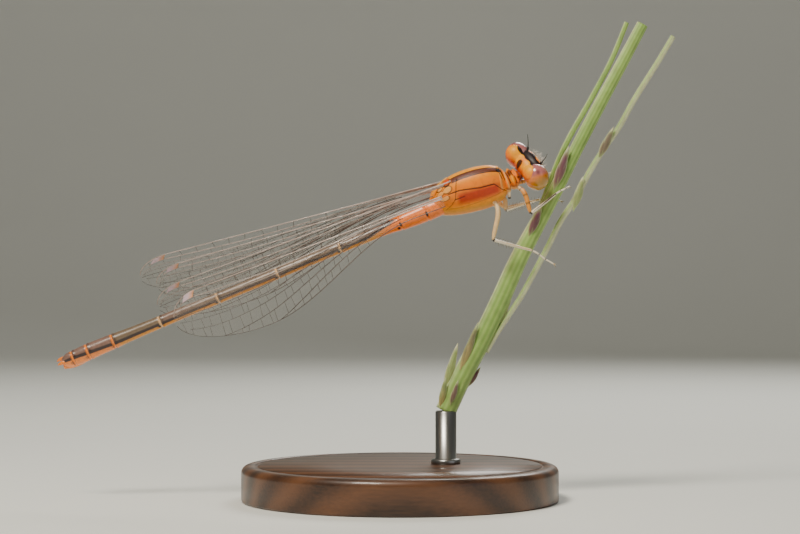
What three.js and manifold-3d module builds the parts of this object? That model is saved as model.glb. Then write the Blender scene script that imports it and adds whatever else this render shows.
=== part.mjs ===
// A life-size perched damselfly, an orange young female bluetail, on a cut grass stem over a display stand.
// Millimetres. X runs to the right along the animal, Y away from the viewer and Z up, from the middle of the
// stand's underside. From the front of the head to the tip of the abdomen it is 30 mm long.
import * as THREE from "three";
import { mergeVertices } from "three/addons/utils/BufferGeometryUtils.js";
import Module from "manifold-3d";

const wasm = await Module();
wasm.setup();

// Driving sizes
const gap = 0.25; // clear space between pieces that touch
const headWidth = 3.52;
const eyeRadius = 0.72;
const wingChord = 3.4; // widest part of a forewing
const membrane = 0.42; // thickness of the wing between its veins
const ridge = 0.06; // height of a main vein over the membrane, on each face
const limbRadius = 0.25; // least radius of a leg before it tapers

// The animal is rolled towards the viewer, and climbs to the right
const bodyRoll = 45;
const thoraxRoll = 50;
const thoraxClimb = 15;
const abdomenClimb = 22.45;
const headClimb = 24.6;
const headTurn = 17.3;
const headRoll = 43;
const thoraxPlace = [4.03, 0, 17.56];
const abdomenPlace = [2.1, 0, 16.6];
const prothoraxPlace = [6.3, 0, 18.24];
const headPlace = [7.17, 0.1, 18.92];

const model = new THREE.Group();

// Colours of the living animal, the stem and the stand
const finish = (color, roughness = 0.5) => new THREE.MeshStandardMaterial({ color, roughness, metalness: 0 });
const orange = finish(0xf08a24, 0.4);
const eyeAmber = finish(0xc07028, 0.15);
const bronze = finish(0x5a5040, 0.35);
const legStraw = finish(0xe8b878, 0.45);
const black = finish(0x241c1c, 0.4);
const wingClear = finish(0xd8d0c4, 0.2);
const grass = finish(0x7fa548, 0.6);
const standWood = finish(0x6b4a32, 0.5);
const standMetal = finish(0x9a9a98, 0.35);

const radians = THREE.MathUtils.degToRad;
const lerp = THREE.MathUtils.lerp;
const clamp = THREE.MathUtils.clamp;
const vector = (p) => new THREE.Vector3(...p);

// Frames: in each, x points forward, y to the animal's left and z to its back
function frameOf(place, climb, roll, turn = 0) {
  const frame = new THREE.Group();
  frame.position.set(...place);
  frame.rotation.set(radians(roll), radians(-climb), radians(turn), "ZYX");
  frame.updateMatrixWorld(true);
  return frame;
}
const thoraxFrame = frameOf(thoraxPlace, thoraxClimb, thoraxRoll);
const abdomenFrame = frameOf(abdomenPlace, abdomenClimb, bodyRoll);
const prothoraxFrame = frameOf(prothoraxPlace, thoraxClimb + 6, bodyRoll, 6);
const headFrame = frameOf(headPlace, headClimb, headRoll, headTurn);

// A closed geometry through rings of equal length, with fans at both ends
function skinOver(rings) {
  const count = rings[0].length;
  const middle = (ring) => ring.reduce((sum, p) => sum.add(p), new THREE.Vector3()).divideScalar(count);
  const points = [...rings.flat(), middle(rings[0]), middle(rings.at(-1))];
  const faces = [];
  for (let i = 0; i + 1 < rings.length; i++) {
    for (let j = 0; j < count; j++) {
      const next = (j + 1) % count;
      const [a, b, c, d] = [i * count + j, i * count + next, (i + 1) * count + next, (i + 1) * count + j];
      faces.push(a, b, c, a, c, d);
    }
  }
  const [firstMiddle, lastMiddle] = [points.length - 2, points.length - 1];
  const lastRing = (rings.length - 1) * count;
  for (let j = 0; j < count; j++) {
    const next = (j + 1) % count;
    faces.push(firstMiddle, next, j, lastMiddle, lastRing + j, lastRing + next);
  }
  return closed(points, faces);
}

// A geometry of points and faces, turned so that its faces point out
function closed(points, faces) {
  let volume = 0;
  for (let i = 0; i < faces.length; i += 3) {
    const [a, b, c] = [points[faces[i]], points[faces[i + 1]], points[faces[i + 2]]];
    volume += a.dot(b.clone().cross(c)) / 6;
  }
  if (volume < 0) faces.reverse();
  const geometry = new THREE.BufferGeometry().setFromPoints(points);
  geometry.setIndex(faces);
  return geometry;
}

// Booleans, after which a piece keeps its largest closed body
function solidOf(geometry) {
  const bare = geometry.clone();
  bare.deleteAttribute("normal");
  bare.deleteAttribute("uv");
  const merged = mergeVertices(bare, 1e-5);
  const mesh = new wasm.Mesh({
    numProp: 3,
    vertProperties: new Float32Array(merged.attributes.position.array),
    triVerts: new Uint32Array(merged.index.array),
  });
  return new wasm.Manifold(mesh);
}
function geometryOf(solid) {
  const largest = solid.decompose().reduce((best, piece) => (piece.volume() > best.volume() ? piece : best));
  const mesh = largest.getMesh();
  const geometry = new THREE.BufferGeometry();
  geometry.setAttribute("position", new THREE.BufferAttribute(Float32Array.from(mesh.vertProperties), 3));
  geometry.setIndex(new THREE.BufferAttribute(Uint32Array.from(mesh.triVerts), 1));
  return geometry;
}
const fused = (pieces) => geometryOf(pieces.map(solidOf).reduce((sum, piece) => sum.add(piece)));
const cutBy = (piece, cutters) =>
  geometryOf(cutters.map(solidOf).reduce((rest, cutter) => rest.subtract(cutter), solidOf(piece)));

// A geometry moved out of its frame into the model's
const inModel = (geometry, frame) => geometry.clone().applyMatrix4(frame.matrixWorld);

function addNode(name, geometry, material) {
  const mesh = new THREE.Mesh(geometry, material);
  mesh.name = name;
  model.add(mesh);
}

// A body along x through stations of [x, half width, top, bottom]; a roof over 2 makes its back fuller
function bodyOf(stations, { sides = 20, roof = 2, grow = 0 } = {}) {
  const rings = stations.map(([x, half, top, bottom], index) => {
    const end = index === 0 ? -1 : index === stations.length - 1 ? 1 : 0;
    const forward = Math.sign(stations.at(-1)[0] - stations[0][0]);
    return Array.from({ length: sides }, (_, k) => {
      const angle = (2 * Math.PI * k) / sides;
      const [c, s] = [Math.cos(angle), Math.sin(angle)];
      const power = s > 0 ? 2 / roof : 1;
      const across = Math.sign(c) * Math.abs(c) ** power;
      const height = s > 0 ? (top + grow) * s : (-bottom + grow) * s;
      return new THREE.Vector3(x + end * forward * grow, (half + grow) * across, height);
    });
  });
  return skinOver(rings);
}

// A tapering limb along a smooth path, with its radius given at each point
function limbOf(path, radii, { sides = 8, steps = 10, grow = 0 } = {}) {
  const curve = new THREE.CatmullRomCurve3(path.map(vector), false, "centripetal");
  const lengths = path.map((_, i) => i / (path.length - 1));
  const rings = [];
  let side = null;
  for (let i = 0; i <= steps; i++) {
    const t = i / steps;
    const tangent = curve.getTangent(t);
    if (!side) side = new THREE.Vector3(0, 0, 1).cross(tangent).normalize();
    side = side.sub(tangent.clone().multiplyScalar(side.dot(tangent))).normalize();
    const other = tangent.clone().cross(side);
    const k = Math.min(lengths.length - 2, Math.floor(t * (lengths.length - 1)));
    const radius = grow + lerp(radii[k], radii[k + 1], (t - lengths[k]) * (lengths.length - 1));
    const centre = curve.getPoint(t);
    if (i === 0) centre.addScaledVector(tangent, -grow);
    if (i === steps) centre.addScaledVector(tangent, grow);
    rings.push(
      Array.from({ length: sides }, (_, j) => {
        const angle = (2 * Math.PI * j) / sides;
        return centre
          .clone()
          .addScaledVector(side, radius * Math.cos(angle))
          .addScaledVector(other, radius * Math.sin(angle));
      }),
    );
  }
  return skinOver(rings);
}

// An ellipsoid about a point
function ellipsoid(centre, [rx, ry, rz], detail = 16) {
  return new THREE.SphereGeometry(1, detail, detail / 2).scale(rx, ry, rz).translate(...centre);
}

// Thorax: a deep, skewed box with a broad back, the wing bases on its rear slope and the legs low in front
const thoraxStations = [
  [-2.25, 0.5, 0.3, -0.85],
  [-2.0, 0.66, 0.62, -1.08],
  [-1.5, 0.84, 1.0, -1.28],
  [-0.9, 0.98, 1.27, -1.36],
  [-0.1, 1.05, 1.42, -1.4],
  [0.8, 1.02, 1.42, -1.4],
  [1.4, 0.94, 1.28, -1.32],
  [1.8, 0.78, 1.02, -1.15],
  [2.0, 0.58, 0.72, -0.85],
];
const thoraxBody = (grow) => bodyOf(thoraxStations, { sides: 24, roof: 2.15, grow });
const thorax = inModel(thoraxBody(0), thoraxFrame);
const thoraxCutter = inModel(thoraxBody(gap), thoraxFrame);
addNode("thorax", thorax, orange);

// Prothorax: a short saddle of three lobes between head and thorax
const prothoraxStations = [
  [-0.42, 0.5, 0.42, -0.5],
  [-0.3, 0.66, 0.56, -0.62],
  [-0.16, 0.56, 0.44, -0.62],
  [0.02, 0.64, 0.56, -0.6],
  [0.2, 0.54, 0.42, -0.52],
  [0.3, 0.46, 0.42, -0.42],
  [0.42, 0.3, 0.28, -0.3],
];
const prothoraxBody = (grow) => inModel(bodyOf(prothoraxStations, { sides: 16, grow }), prothoraxFrame);
const prothorax = cutBy(prothoraxBody(0), [thoraxCutter]);
addNode("prothorax", prothorax, orange);

// Head: a wide bar between two round eyes, with a bulging face in front and a mouth below it
const eyeOffset = headWidth / 2 - eyeRadius;
const eyeRadii = [0.68, eyeRadius, 0.8];
const eyeCentre = (side) => [0.05, side * eyeOffset, 0.02];
const eyeGrown = (side) => ellipsoid(eyeCentre(side), eyeRadii.map((r) => r + gap), 20);
const faceParts = [
  { centre: [0, 0, 0.04], radii: [0.56, 1.2, 0.64], detail: 16 }, // crown
  { centre: [-0.18, 0.86, 0.24], radii: [0.5, 0.54, 0.52], detail: 16 }, // rear lobe behind the left eye
  { centre: [-0.18, -0.86, 0.24], radii: [0.5, 0.54, 0.52], detail: 16 }, // rear lobe behind the right eye
  { centre: [0.42, 0, 0.2], radii: [0.36, 0.85, 0.42], detail: 12 }, // forehead
  { centre: [0.54, 0, -0.26], radii: [0.28, 0.5, 0.3], detail: 12 }, // upper lip
  { centre: [0.2, 0, -0.55], radii: [0.42, 0.5, 0.32], detail: 12 }, // lower lip and jaws
];
const faceOf = (grow) =>
  fused(faceParts.map(({ centre, radii, detail }) => ellipsoid(centre, radii.map((r) => r + grow), detail)));
const eyes = { left: 1, right: -1 };
const headWhole = inModel(cutBy(faceOf(0), [eyeGrown(1), eyeGrown(-1)]), headFrame);
addNode("head", cutBy(headWhole, [prothoraxBody(gap)]), orange);
const eyeDepth = 0.34; // how far each eye reaches inwards of its centre, to a flat back
for (const [name, side] of Object.entries(eyes)) {
  const inner = new THREE.BoxGeometry(3, 1, 3).translate(0, side * (eyeOffset - eyeDepth - 0.5), 0);
  const eye = cutBy(ellipsoid(eyeCentre(side), eyeRadii, 20), [inner]);
  addNode(`eye_${name}`, cutBy(inModel(eye, headFrame), [prothoraxBody(gap)]), eyeAmber);
}

// Feelers: two thick joints and a fine bristle, the left one held out further than the right
const feelerRoot = (side) => [0.44, side * 0.6, 0.36];
const feelerTip = { left: [0.79, 1.05, 1.3], right: [0.99, -0.75, 1.1] };
for (const [name, side] of Object.entries(eyes)) {
  const root = vector(feelerRoot(side));
  const along = vector(feelerTip[name]).sub(root);
  const at = (share) => root.clone().addScaledVector(along, share).toArray();
  const feeler = limbOf([at(0), at(0.3), at(0.6), at(1)], [0.22, 0.2, 0.1, 0.04], { sides: 8, steps: 9 });
  const bare = cutBy(feeler, [faceOf(gap), eyeGrown(side)]);
  addNode(`antenna_${name}`, inModel(bare, headFrame), black);
}

// Abdomen: ten rings, lengths and heights in millimetres from the thorax back
const abdomenRings = [
  { length: 0.75, front: 1.05, back: 0.98 },
  { length: 1.85, front: 0.98, back: 0.84 },
  { length: 3.7, front: 0.82, back: 0.72 },
  { length: 3.75, front: 0.72, back: 0.7 },
  { length: 3.7, front: 0.7, back: 0.72 },
  { length: 3.5, front: 0.72, back: 0.78 },
  { length: 2.85, front: 0.78, back: 0.88 },
  { length: 1.5, front: 0.9, back: 0.95 },
  { length: 0.85, front: 0.92, back: 0.8 },
  { length: 0.6, front: 0.72, back: 0.5 },
];
const valveStart = -21.75; // the egg-laying valves hang below the ninth ring and reach past the tenth
const valves = (grow) => {
  const stations = [
    [valveStart, 0.16, -0.2, -0.5],
    [valveStart - 0.4, 0.2, -0.2, -0.66],
    [valveStart - 1.0, 0.18, -0.28, -0.7],
    [valveStart - 1.45, 0.08, -0.42, -0.58],
  ];
  return bodyOf(stations, { sides: 10, grow });
};
const ringFlare = 0.05; // how far the rear rim of each ring stands out
let ringStart = 0;
abdomenRings.forEach(({ length, front, back }, index) => {
  const number = index + 1;
  const from = -ringStart - (index ? gap / 2 : 0);
  const to = -ringStart - length + gap / 2;
  const lean = number === 9 ? 0.12 : number === 8 ? 0.06 : 0; // the egg-laying valves deepen the last rings
  const station = (share, height, flare = 0) => {
    const half = height / 2 + flare;
    return [lerp(from, to, share), half * 0.92, half, -half - lean * Math.sin(Math.PI * share)];
  };
  const stations = [
    station(0, front, -0.04),
    station(0.06, front),
    station(0.5, (front + back) / 2, -0.01),
    station(0.88, back),
    station(0.95, back, ringFlare),
    station(1, back, 0),
  ];
  let ring = bodyOf(stations, { sides: 14 });
  if (number === 9) ring = fused([ring, valves(0)]);
  if (number === 10) {
    const cercus = (side) => {
      const path = [[0.15, 0.14], [-0.15, 0.17], [-0.38, 0.16]].map(([x, y]) => [to + x, side * y, 0.12]);
      return limbOf(path, [0.13, 0.11, 0.05], { steps: 5 });
    };
    ring = cutBy(fused([ring, cercus(1), cercus(-1)]), [valves(gap)]);
  }
  const name = `abdomen_${String(number).padStart(2, "0")}`;
  const placed = inModel(ring, abdomenFrame);
  addNode(name, number === 1 ? cutBy(placed, [thoraxCutter]) : placed, number < 3 ? orange : bronze);
  ringStart += length;
});

// Wings: a straight front edge from the root, a narrow stalk, and a broad blade with a round tip
// Places are [x, z] of the front edge at its root and at its far end, with its depth y along the way
const wings = {
  wing_fore_left: { root: [2.75, 18.2], end: [-15.27, 13.5], depths: [0.45, 1, 2, 2.1, 1.7], lean: 45 },
  wing_hind_left: { root: [2.1, 17.7], end: [-14.2, 13], depths: [0.1, 0.3, 1.2, 0.95, 0.5], lean: 45 },
  wing_fore_right: { root: [2.85, 18.05], end: [-14.15, 11.8], depths: [-1, -0.75, 0, 0, -0.1], lean: 45 },
  wing_hind_right: {
    root: [2.35, 17.2],
    end: [-13.1, 11.37],
    depths: [-1.05, -1.1, -1.15, -1.2, -1.3],
    lean: 0,
  },
};
const depthPlaces = [0, 0.05, 0.3, 0.6, 1]; // shares of the wing's length at which the depths are given
const stalkEnd = 0.17;
const widestPlace = 0.7;
const tipStart = 0.9; // where the front edge starts to round off
const tipHeight = 0.4; // the tip's height within the blade, from the front edge
const stalkWidth = 0.6;
const nodus = 0.39; // the notch in the front edge
const stigma = [0.908, 0.948]; // the thick coloured cell by the tip
const veinFoot = 0.1; // half width of a vein's ridge
// Each main vein's place across the wing, as a share of its width, at the stalk and at the tip
const mainVeins = [[0.2, 0.13], [0.33, 0.27], [0.46, 0.42], [0.58, 0.57], [0.7, 0.72], [0.84, 0.88]];
const wingStations = [
  0, 0.06, 0.13, 0.2, 0.27, 0.34, nodus - 0.01, nodus, nodus + 0.01, 0.48, 0.59, 0.7, 0.79, 0.87,
  stigma[0], stigma[0] + 0.008, stigma[1] - 0.008, stigma[1], 0.98, 0.995,
];

const smooth = (t) => THREE.MathUtils.smoothstep(t, 0, 1);
const roundOff = (t) => Math.sqrt(1 - clamp(t, 0, 1) ** 2);
const frontEdge = (s, chord) => tipHeight * chord * (1 - roundOff((s - tipStart) / (1 - tipStart)));
function rearEdge(s, chord) {
  if (s > widestPlace) return chord * lerp(tipHeight, 1, roundOff((s - widestPlace) / (1 - widestPlace)));
  return lerp(stalkWidth, chord, smooth((s - stalkEnd + 0.05) / (widestPlace - stalkEnd + 0.05)));
}

// Rows of [share of the width, height over the membrane] across a wing: a vein's crest between its feet
function wingRows(s, width) {
  const foot = Math.min(veinFoot / width, 0.045);
  const crests = mainVeins.map(([inner, outer]) => lerp(inner, outer, s));
  const rows = [[0, ridge], [foot, 0]];
  crests.forEach((place, index) => {
    const onStigma = index === 0 && s > stigma[0] + 0.001 && s < stigma[1] - 0.001;
    const onNodus = index === 0 && s === nodus;
    if (onStigma || onNodus) rows[1][1] = ridge;
    rows.push([place - foot, onStigma || onNodus ? ridge : 0], [place, ridge], [place + foot, 0]);
  });
  return [...rows, [1 - foot, 0], [1, ridge * 0.6]];
}

// A closed vane between two like grids of points, split into like triangles on both faces
function vaneOf(upper, lower) {
  const [rows, columns] = [upper.length, upper[0].length];
  const points = [...upper.flat(), ...lower.flat()];
  const below = rows * columns;
  const faces = [];
  const quad = (a, b, c, d) => faces.push(a, b, c, a, c, d);
  for (let i = 0; i + 1 < rows; i++) {
    for (let j = 0; j + 1 < columns; j++) {
      const a = i * columns + j;
      const [b, c, d] = [a + 1, a + columns + 1, a + columns];
      quad(a, b, c, d);
      faces.push(below + a, below + c, below + b, below + a, below + d, below + c);
    }
    const [near, far] = [i * columns, (i + 1) * columns];
    quad(near + below, near, far, far + below);
    quad(near + columns - 1, near + columns - 1 + below, far + columns - 1 + below, far + columns - 1);
  }
  const last = (rows - 1) * columns;
  for (let j = 0; j + 1 < columns; j++) {
    quad(j + below, j + 1 + below, j + 1, j);
    quad(last + j, last + j + 1, last + j + 1 + below, last + j + below);
  }
  return closed(points, faces);
}

for (const [name, { root, end, depths, lean }] of Object.entries(wings)) {
  const chord = name.includes("fore") ? wingChord : wingChord * 0.98;
  const along = new THREE.Vector3(end[0] - root[0], 0, end[1] - root[1]);
  const drop = new THREE.Vector3(along.z, 0, -along.x).normalize().multiplyScalar(Math.sign(along.x));
  const away = new THREE.Vector3(0, Math.sin(radians(lean)), 0);
  const lie = drop.multiplyScalar(Math.cos(radians(lean))).add(away);
  const face = lie.clone().cross(along).normalize();
  const depthAt = (s) => {
    const k = Math.max(0, depthPlaces.findLastIndex((place, i) => place <= s && i + 1 < depthPlaces.length));
    const share = (s - depthPlaces[k]) / (depthPlaces[k + 1] - depthPlaces[k]);
    return lerp(depths[k], depths[k + 1], smooth(share));
  };
  const grids = [1, -1].map((way) =>
    wingStations.map((s) => {
      const [front, rear] = [frontEdge(s, chord), rearEdge(s, chord)];
      return wingRows(s, rear - front).map(([share, height]) =>
        new THREE.Vector3(root[0], depthAt(s), root[1])
          .addScaledVector(along, s)
          .addScaledVector(lie, lerp(front, rear, share))
          .addScaledVector(face, way * (membrane / 2 + height)),
      );
    }),
  );
  addNode(name, cutBy(vaneOf(...grids), [thoraxCutter]), wingClear);
}

// Legs: femur and tibia with its foot, each [x, y, z] path from the body outwards, gripping the stem
const legs = {
  front_right: {
    femur: [[6.35, 0.1, 17.9], [6.86, -0.2, 17.65], [7.39, -0.6, 16.26]],
    tibia: [
      [7.39, -0.6, 16.26], [8.2, -0.35, 16.87], [8.99, -0.12, 17.48], [9.45, 0.1, 17.72], [9.62, 0.4, 17.8],
    ],
  },
  front_left: {
    femur: [[6.1, 0.9, 17.7], [6.7, 1.5, 18.05], [7.35, 1.85, 18.2]],
    tibia: [[7.35, 1.85, 18.2], [7.9, 1.7, 18.4], [8.4, 1.45, 18.55], [8.68, 1.2, 18.65]],
  },
  middle_right: {
    femur: [[5.4, 0.6, 17.5], [5.95, 0.25, 17.05], [6.0, 0.15, 16.45]],
    tibia: [[6.0, 0.15, 16.45], [6.9, 0.35, 16.75], [7.5, 0.4, 16.9], [7.75, 0.45, 17.0]],
  },
  middle_left: {
    femur: [[5.0, 1.1, 17.2], [5.7, 1.4, 16.9], [6.0, 1.2, 16.62]],
    tibia: [[6.0, 1.2, 16.62], [7.2, 1.55, 16.9], [8.4, 1.78, 17.15], [9.0, 1.7, 17.1], [9.25, 1.35, 17.0]],
  },
  hind_right: {
    femur: [[5.05, -0.1, 17.1], [5.42, -0.45, 16.5], [5.26, -0.75, 14.76]],
    tibia: [
      [5.26, -0.75, 14.76], [6.83, -0.3, 14.33], [7.68, -0.25, 14.07], [8.2, -0.15, 13.7], [8.7, 0.0, 13.42],
    ],
  },
  hind_left: {
    femur: [[4.95, 1.0, 16.9], [5.35, 1.4, 16.4], [5.3, 1.7, 14.85]],
    tibia: [[5.3, 1.7, 14.85], [6.3, 1.75, 14.5], [7.1, 1.75, 14.3], [7.7, 1.5, 14.1]],
  },
};
const thighRadius = limbRadius + 0.05;
const footTip = 0.1; // radius of the last joint of the foot
const spinesPerTibia = 4;
const spineLength = 0.55;
const spineRadii = [0.1, 0.03];
for (const [name, { femur, tibia }] of Object.entries(legs)) {
  const femurBody = (grow) => limbOf(femur, [thighRadius, thighRadius, limbRadius], { steps: 7, grow });
  addNode(`${name}_femur`, cutBy(femurBody(0), [thoraxCutter, prothoraxBody(gap)]), legStraw);
  const shares = tibia.map((_, i) => Math.max(0, (i - 1) / (tibia.length - 2)));
  const radii = shares.map((share) => lerp(limbRadius, footTip, share ** 2));
  const curve = new THREE.CatmullRomCurve3(tibia.map(vector), false, "centripetal");
  const spines = [];
  for (let i = 0; i < spinesPerTibia; i++) {
    const share = lerp(0.25, 0.7, i / (spinesPerTibia - 1));
    const root = curve.getPoint(share);
    const out = new THREE.Vector3(0.4, i % 2 ? -0.7 : 0.3, -0.84).normalize();
    const tip = root.clone().addScaledVector(out, spineLength);
    spines.push(limbOf([root.toArray(), tip.toArray()], spineRadii, { sides: 4, steps: 1 }));
  }
  const shin = fused([limbOf(tibia, radii, { steps: 12 }), ...spines]);
  addNode(`${name}_tibia`, cutBy(shin, [femurBody(gap)]), legStraw);
}

// Perch: a cut length of a grass stem with a side shoot lying along it, and a free shoot to its right
const stemDepth = 0.85;
const inStem = ([x, z]) => [x, stemDepth, z];
const stemPath = [
  [2.3, 4.3], [3.43, 6.77], [4.63, 9.06], [5.72, 11.34], [6.75, 13.63],
  [8.5, 16.9], [10.25, 20.3], [11.55, 22.78], [12.85, 25.2], [13.85, 27.1],
];
const stemRadii = [0.58, 0.56, 0.55, 0.53, 0.48, 0.42, 0.38, 0.37, 0.35, 0.33];
const sideShootPath = [[7.9, 16.4], [9.45, 20.2], [10.95, 22.9], [12.1, 25.1], [12.95, 27.2]];
const freeShootPath = [
  [5.55, 9.46], [6.3, 10.6], [6.83, 11.4], [7.53, 12.66], [8.5, 14.49], [9.15, 15.8], [10.0, 17.1],
  [10.86, 18.72], [11.61, 19.92], [12.41, 21.06], [13.38, 22.78], [14.81, 25.07], [15.6, 26.4],
];
const freeRadii = freeShootPath.map((_, i) => 0.26 - 0.005 * i);
// Florets as [foot, tip, radius at the middle], with each end's x, depth in front of the shoot's axis, and z
const stemFlorets = [
  [[8.75, 0.3, 17.52], [9.61, 0.5, 20.09], 0.27],
  [[7.32, 0.3, 14.89], [8.06, 0.5, 16.72], 0.25],
  [[5.45, 0, 9.6], [6.4, 0, 11.57], 0.24],
  [[3.37, 0.3, 7.11], [4.46, 0.4, 10.09], 0.28],
  [[2.5, 0.1, 6.1], [3.3, 0.2, 8.88], 0.28],
  [[3.83, 0, 6.31], [4.6, -0.1, 7.5], 0.24],
  [[2.3, 0.3, 5.1], [2.6, 0.5, 6.95], 0.25],
];
const freeFlorets = [
  [[9.9, 0.1, 16.4], [10.46, 0.3, 18.4], 0.24],
  [[11.32, 0.1, 19.35], [12.18, 0.3, 21.2], 0.24],
];
const stemCut = 5; // height of the stem's cut lower end

// A husk-covered floret: a slim spindle from its foot on the shoot to its tip
function floretOf([foot, tip, radius], grow = 0) {
  const [from, to] = [foot, tip].map(([x, front, z]) => new THREE.Vector3(x, stemDepth - front, z));
  const path = [0, 0.3, 0.65, 1].map((share) => from.clone().lerp(to, share).toArray());
  return limbOf(path, [radius * 0.6, radius, radius * 0.8, 0.05], { sides: 6, steps: 5, grow });
}
const stemPieces = (grow) => [
  limbOf(stemPath.map(inStem), stemRadii, { sides: 8, steps: 14, grow }),
  ...stemFlorets.map((floret) => floretOf(floret, grow)),
];
const sideShoot = limbOf(sideShootPath.map(inStem), [0.2, 0.24, 0.22, 0.22, 0.2], { sides: 6, steps: 9 });
const groundBlock = new THREE.BoxGeometry(20, 20, stemCut).translate(0, 0, stemCut / 2);
addNode("perch_stem", cutBy(fused([...stemPieces(0), sideShoot]), [groundBlock]), grass);

const freeBody = limbOf(freeShootPath.map(inStem), freeRadii, { sides: 8, steps: 16 });
const freeWhole = fused([freeBody, ...freeFlorets.map((floret) => floretOf(floret))]);
addNode("perch_shoot", cutBy(freeWhole, stemPieces(gap)), grass);

// Stand: a round base with a rounded upper edge and one rod up to the stem's cut end
const baseRadius = 9;
const baseHeight = 2;
const baseEdge = 0.4;
const baseProfile = [[0, 0], [baseRadius, 0]];
for (let i = 0; i <= 3; i++) {
  const angle = (Math.PI / 2) * (i / 3);
  baseProfile.push([
    baseRadius - baseEdge + baseEdge * Math.cos(angle),
    baseHeight - baseEdge + baseEdge * Math.sin(angle),
  ]);
}
baseProfile.push([0, baseHeight]);
const profile = baseProfile.map(([r, z]) => new THREE.Vector2(r, z));
addNode("stand_base", new THREE.LatheGeometry(profile, 40).rotateX(Math.PI / 2), standWood);
const rodRadius = 0.6;
const rodFoot = baseHeight + gap;
const rodTop = stemCut - gap;
const rodX = 2.62;
const rod = new THREE.CylinderGeometry(rodRadius, rodRadius, rodTop - rodFoot, 20).rotateX(Math.PI / 2);
addNode("stand_rod", rod.translate(rodX, stemDepth, (rodTop + rodFoot) / 2), standMetal);

export default model;
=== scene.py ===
"""Looks of a life-size orange damselfly that grips a cut grass stem on a small display stand.

Shapes are worked out in millimetres, in the model's own frame: X towards the head, Y away from the viewer
and Z up.
"""
import math

import bpy
import numpy as np
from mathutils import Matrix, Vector


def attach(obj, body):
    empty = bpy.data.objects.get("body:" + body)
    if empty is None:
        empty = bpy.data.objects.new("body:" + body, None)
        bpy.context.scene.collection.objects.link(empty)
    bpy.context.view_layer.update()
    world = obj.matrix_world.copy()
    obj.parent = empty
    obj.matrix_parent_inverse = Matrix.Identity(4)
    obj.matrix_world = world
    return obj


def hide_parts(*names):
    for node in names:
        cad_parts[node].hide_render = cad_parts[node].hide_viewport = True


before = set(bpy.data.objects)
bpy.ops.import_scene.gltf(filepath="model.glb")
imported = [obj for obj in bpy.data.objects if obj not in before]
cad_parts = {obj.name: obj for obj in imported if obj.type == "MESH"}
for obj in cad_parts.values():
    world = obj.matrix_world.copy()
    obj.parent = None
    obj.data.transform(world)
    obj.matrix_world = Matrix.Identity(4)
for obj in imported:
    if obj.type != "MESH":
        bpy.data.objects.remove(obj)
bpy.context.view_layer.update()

MM = 0.001
rng = np.random.default_rng(7)

# Camera: the photograph's frame, 800 by 534, takes in 45.4 mm at the animal
PHOTO_WIDTH = 45.4
LENS = 100.0
SENSOR = 36.0
VIEW_CENTRE = (0.0, 13.23)

# Poses of the body's parts: place, climb to the right, roll towards the viewer, turn away from the viewer
THORAX = ((4.03, 0, 17.56), 15, 50, 0)
ABDOMEN = ((2.1, 0, 16.6), 22.45, 45, 0)
PROTHORAX = ((6.3, 0, 18.24), 21, 45, 6)
HEAD = ((7.17, 0.1, 18.92), 24.6, 43, 17.3)


# Shapes


def pose(place, climb, roll, turn):
    """The part's axes as columns, and its place: rolled about its length, then climbed, then turned."""
    a, b, c = np.radians([roll, -climb, turn])
    about_x = np.array([[1, 0, 0], [0, np.cos(a), -np.sin(a)], [0, np.sin(a), np.cos(a)]])
    about_y = np.array([[np.cos(b), 0, np.sin(b)], [0, 1, 0], [-np.sin(b), 0, np.cos(b)]])
    about_z = np.array([[np.cos(c), -np.sin(c), 0], [np.sin(c), np.cos(c), 0], [0, 0, 1]])
    return about_z @ about_y @ about_x, np.array(place, float)


def placed(points, where):
    """Points of a part's own frame, moved into the model's."""
    axes, place = pose(*where)
    return points @ axes.T + place


def flow(x, xs, ys):
    """A smooth curve through (xs, ys): a cubic between neighbours, with the mean slope at each."""
    xs, ys = np.asarray(xs, float), np.asarray(ys, float)
    slopes = np.gradient(ys, xs)
    k = np.clip(np.searchsorted(xs, x) - 1, 0, len(xs) - 2)
    width = xs[k + 1] - xs[k]
    t = np.clip((x - xs[k]) / width, 0, 1)
    start, end = ys[k], ys[k + 1]
    rise = (2 * t**3 - 3 * t**2 + 1) * start + (3 * t**2 - 2 * t**3) * end
    return rise + width * ((t**3 - 2 * t**2 + t) * slopes[k] + (t**3 - t**2) * slopes[k + 1])


def band(distance, half, soft):
    """One within half of zero distance, and none beyond it, with a straight ramp as wide as soft between."""
    return np.clip((half - np.abs(distance)) / soft + 0.5, 0, 1)


def step(value, edge, soft):
    """None below the edge and one above it, with a straight ramp as wide as soft between."""
    return np.clip((value - edge) / soft + 0.5, 0, 1)


def unit(v):
    """Vectors of length one, in the same directions."""
    return v / np.maximum(np.linalg.norm(v, axis=-1, keepdims=True), 1e-12)


def sphere(rows, columns, margin):
    """Rings of the unit sphere from its +y pole to its -y one, short of each by a margin in radians."""
    polar = np.linspace(margin, np.pi - margin, rows)[:, None]
    around = np.linspace(0, 2 * np.pi, columns, endpoint=False)[None]
    sides = [np.sin(polar) * np.cos(around), np.cos(polar) + 0 * around, np.sin(polar) * np.sin(around)]
    return np.stack(sides, -1)


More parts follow.
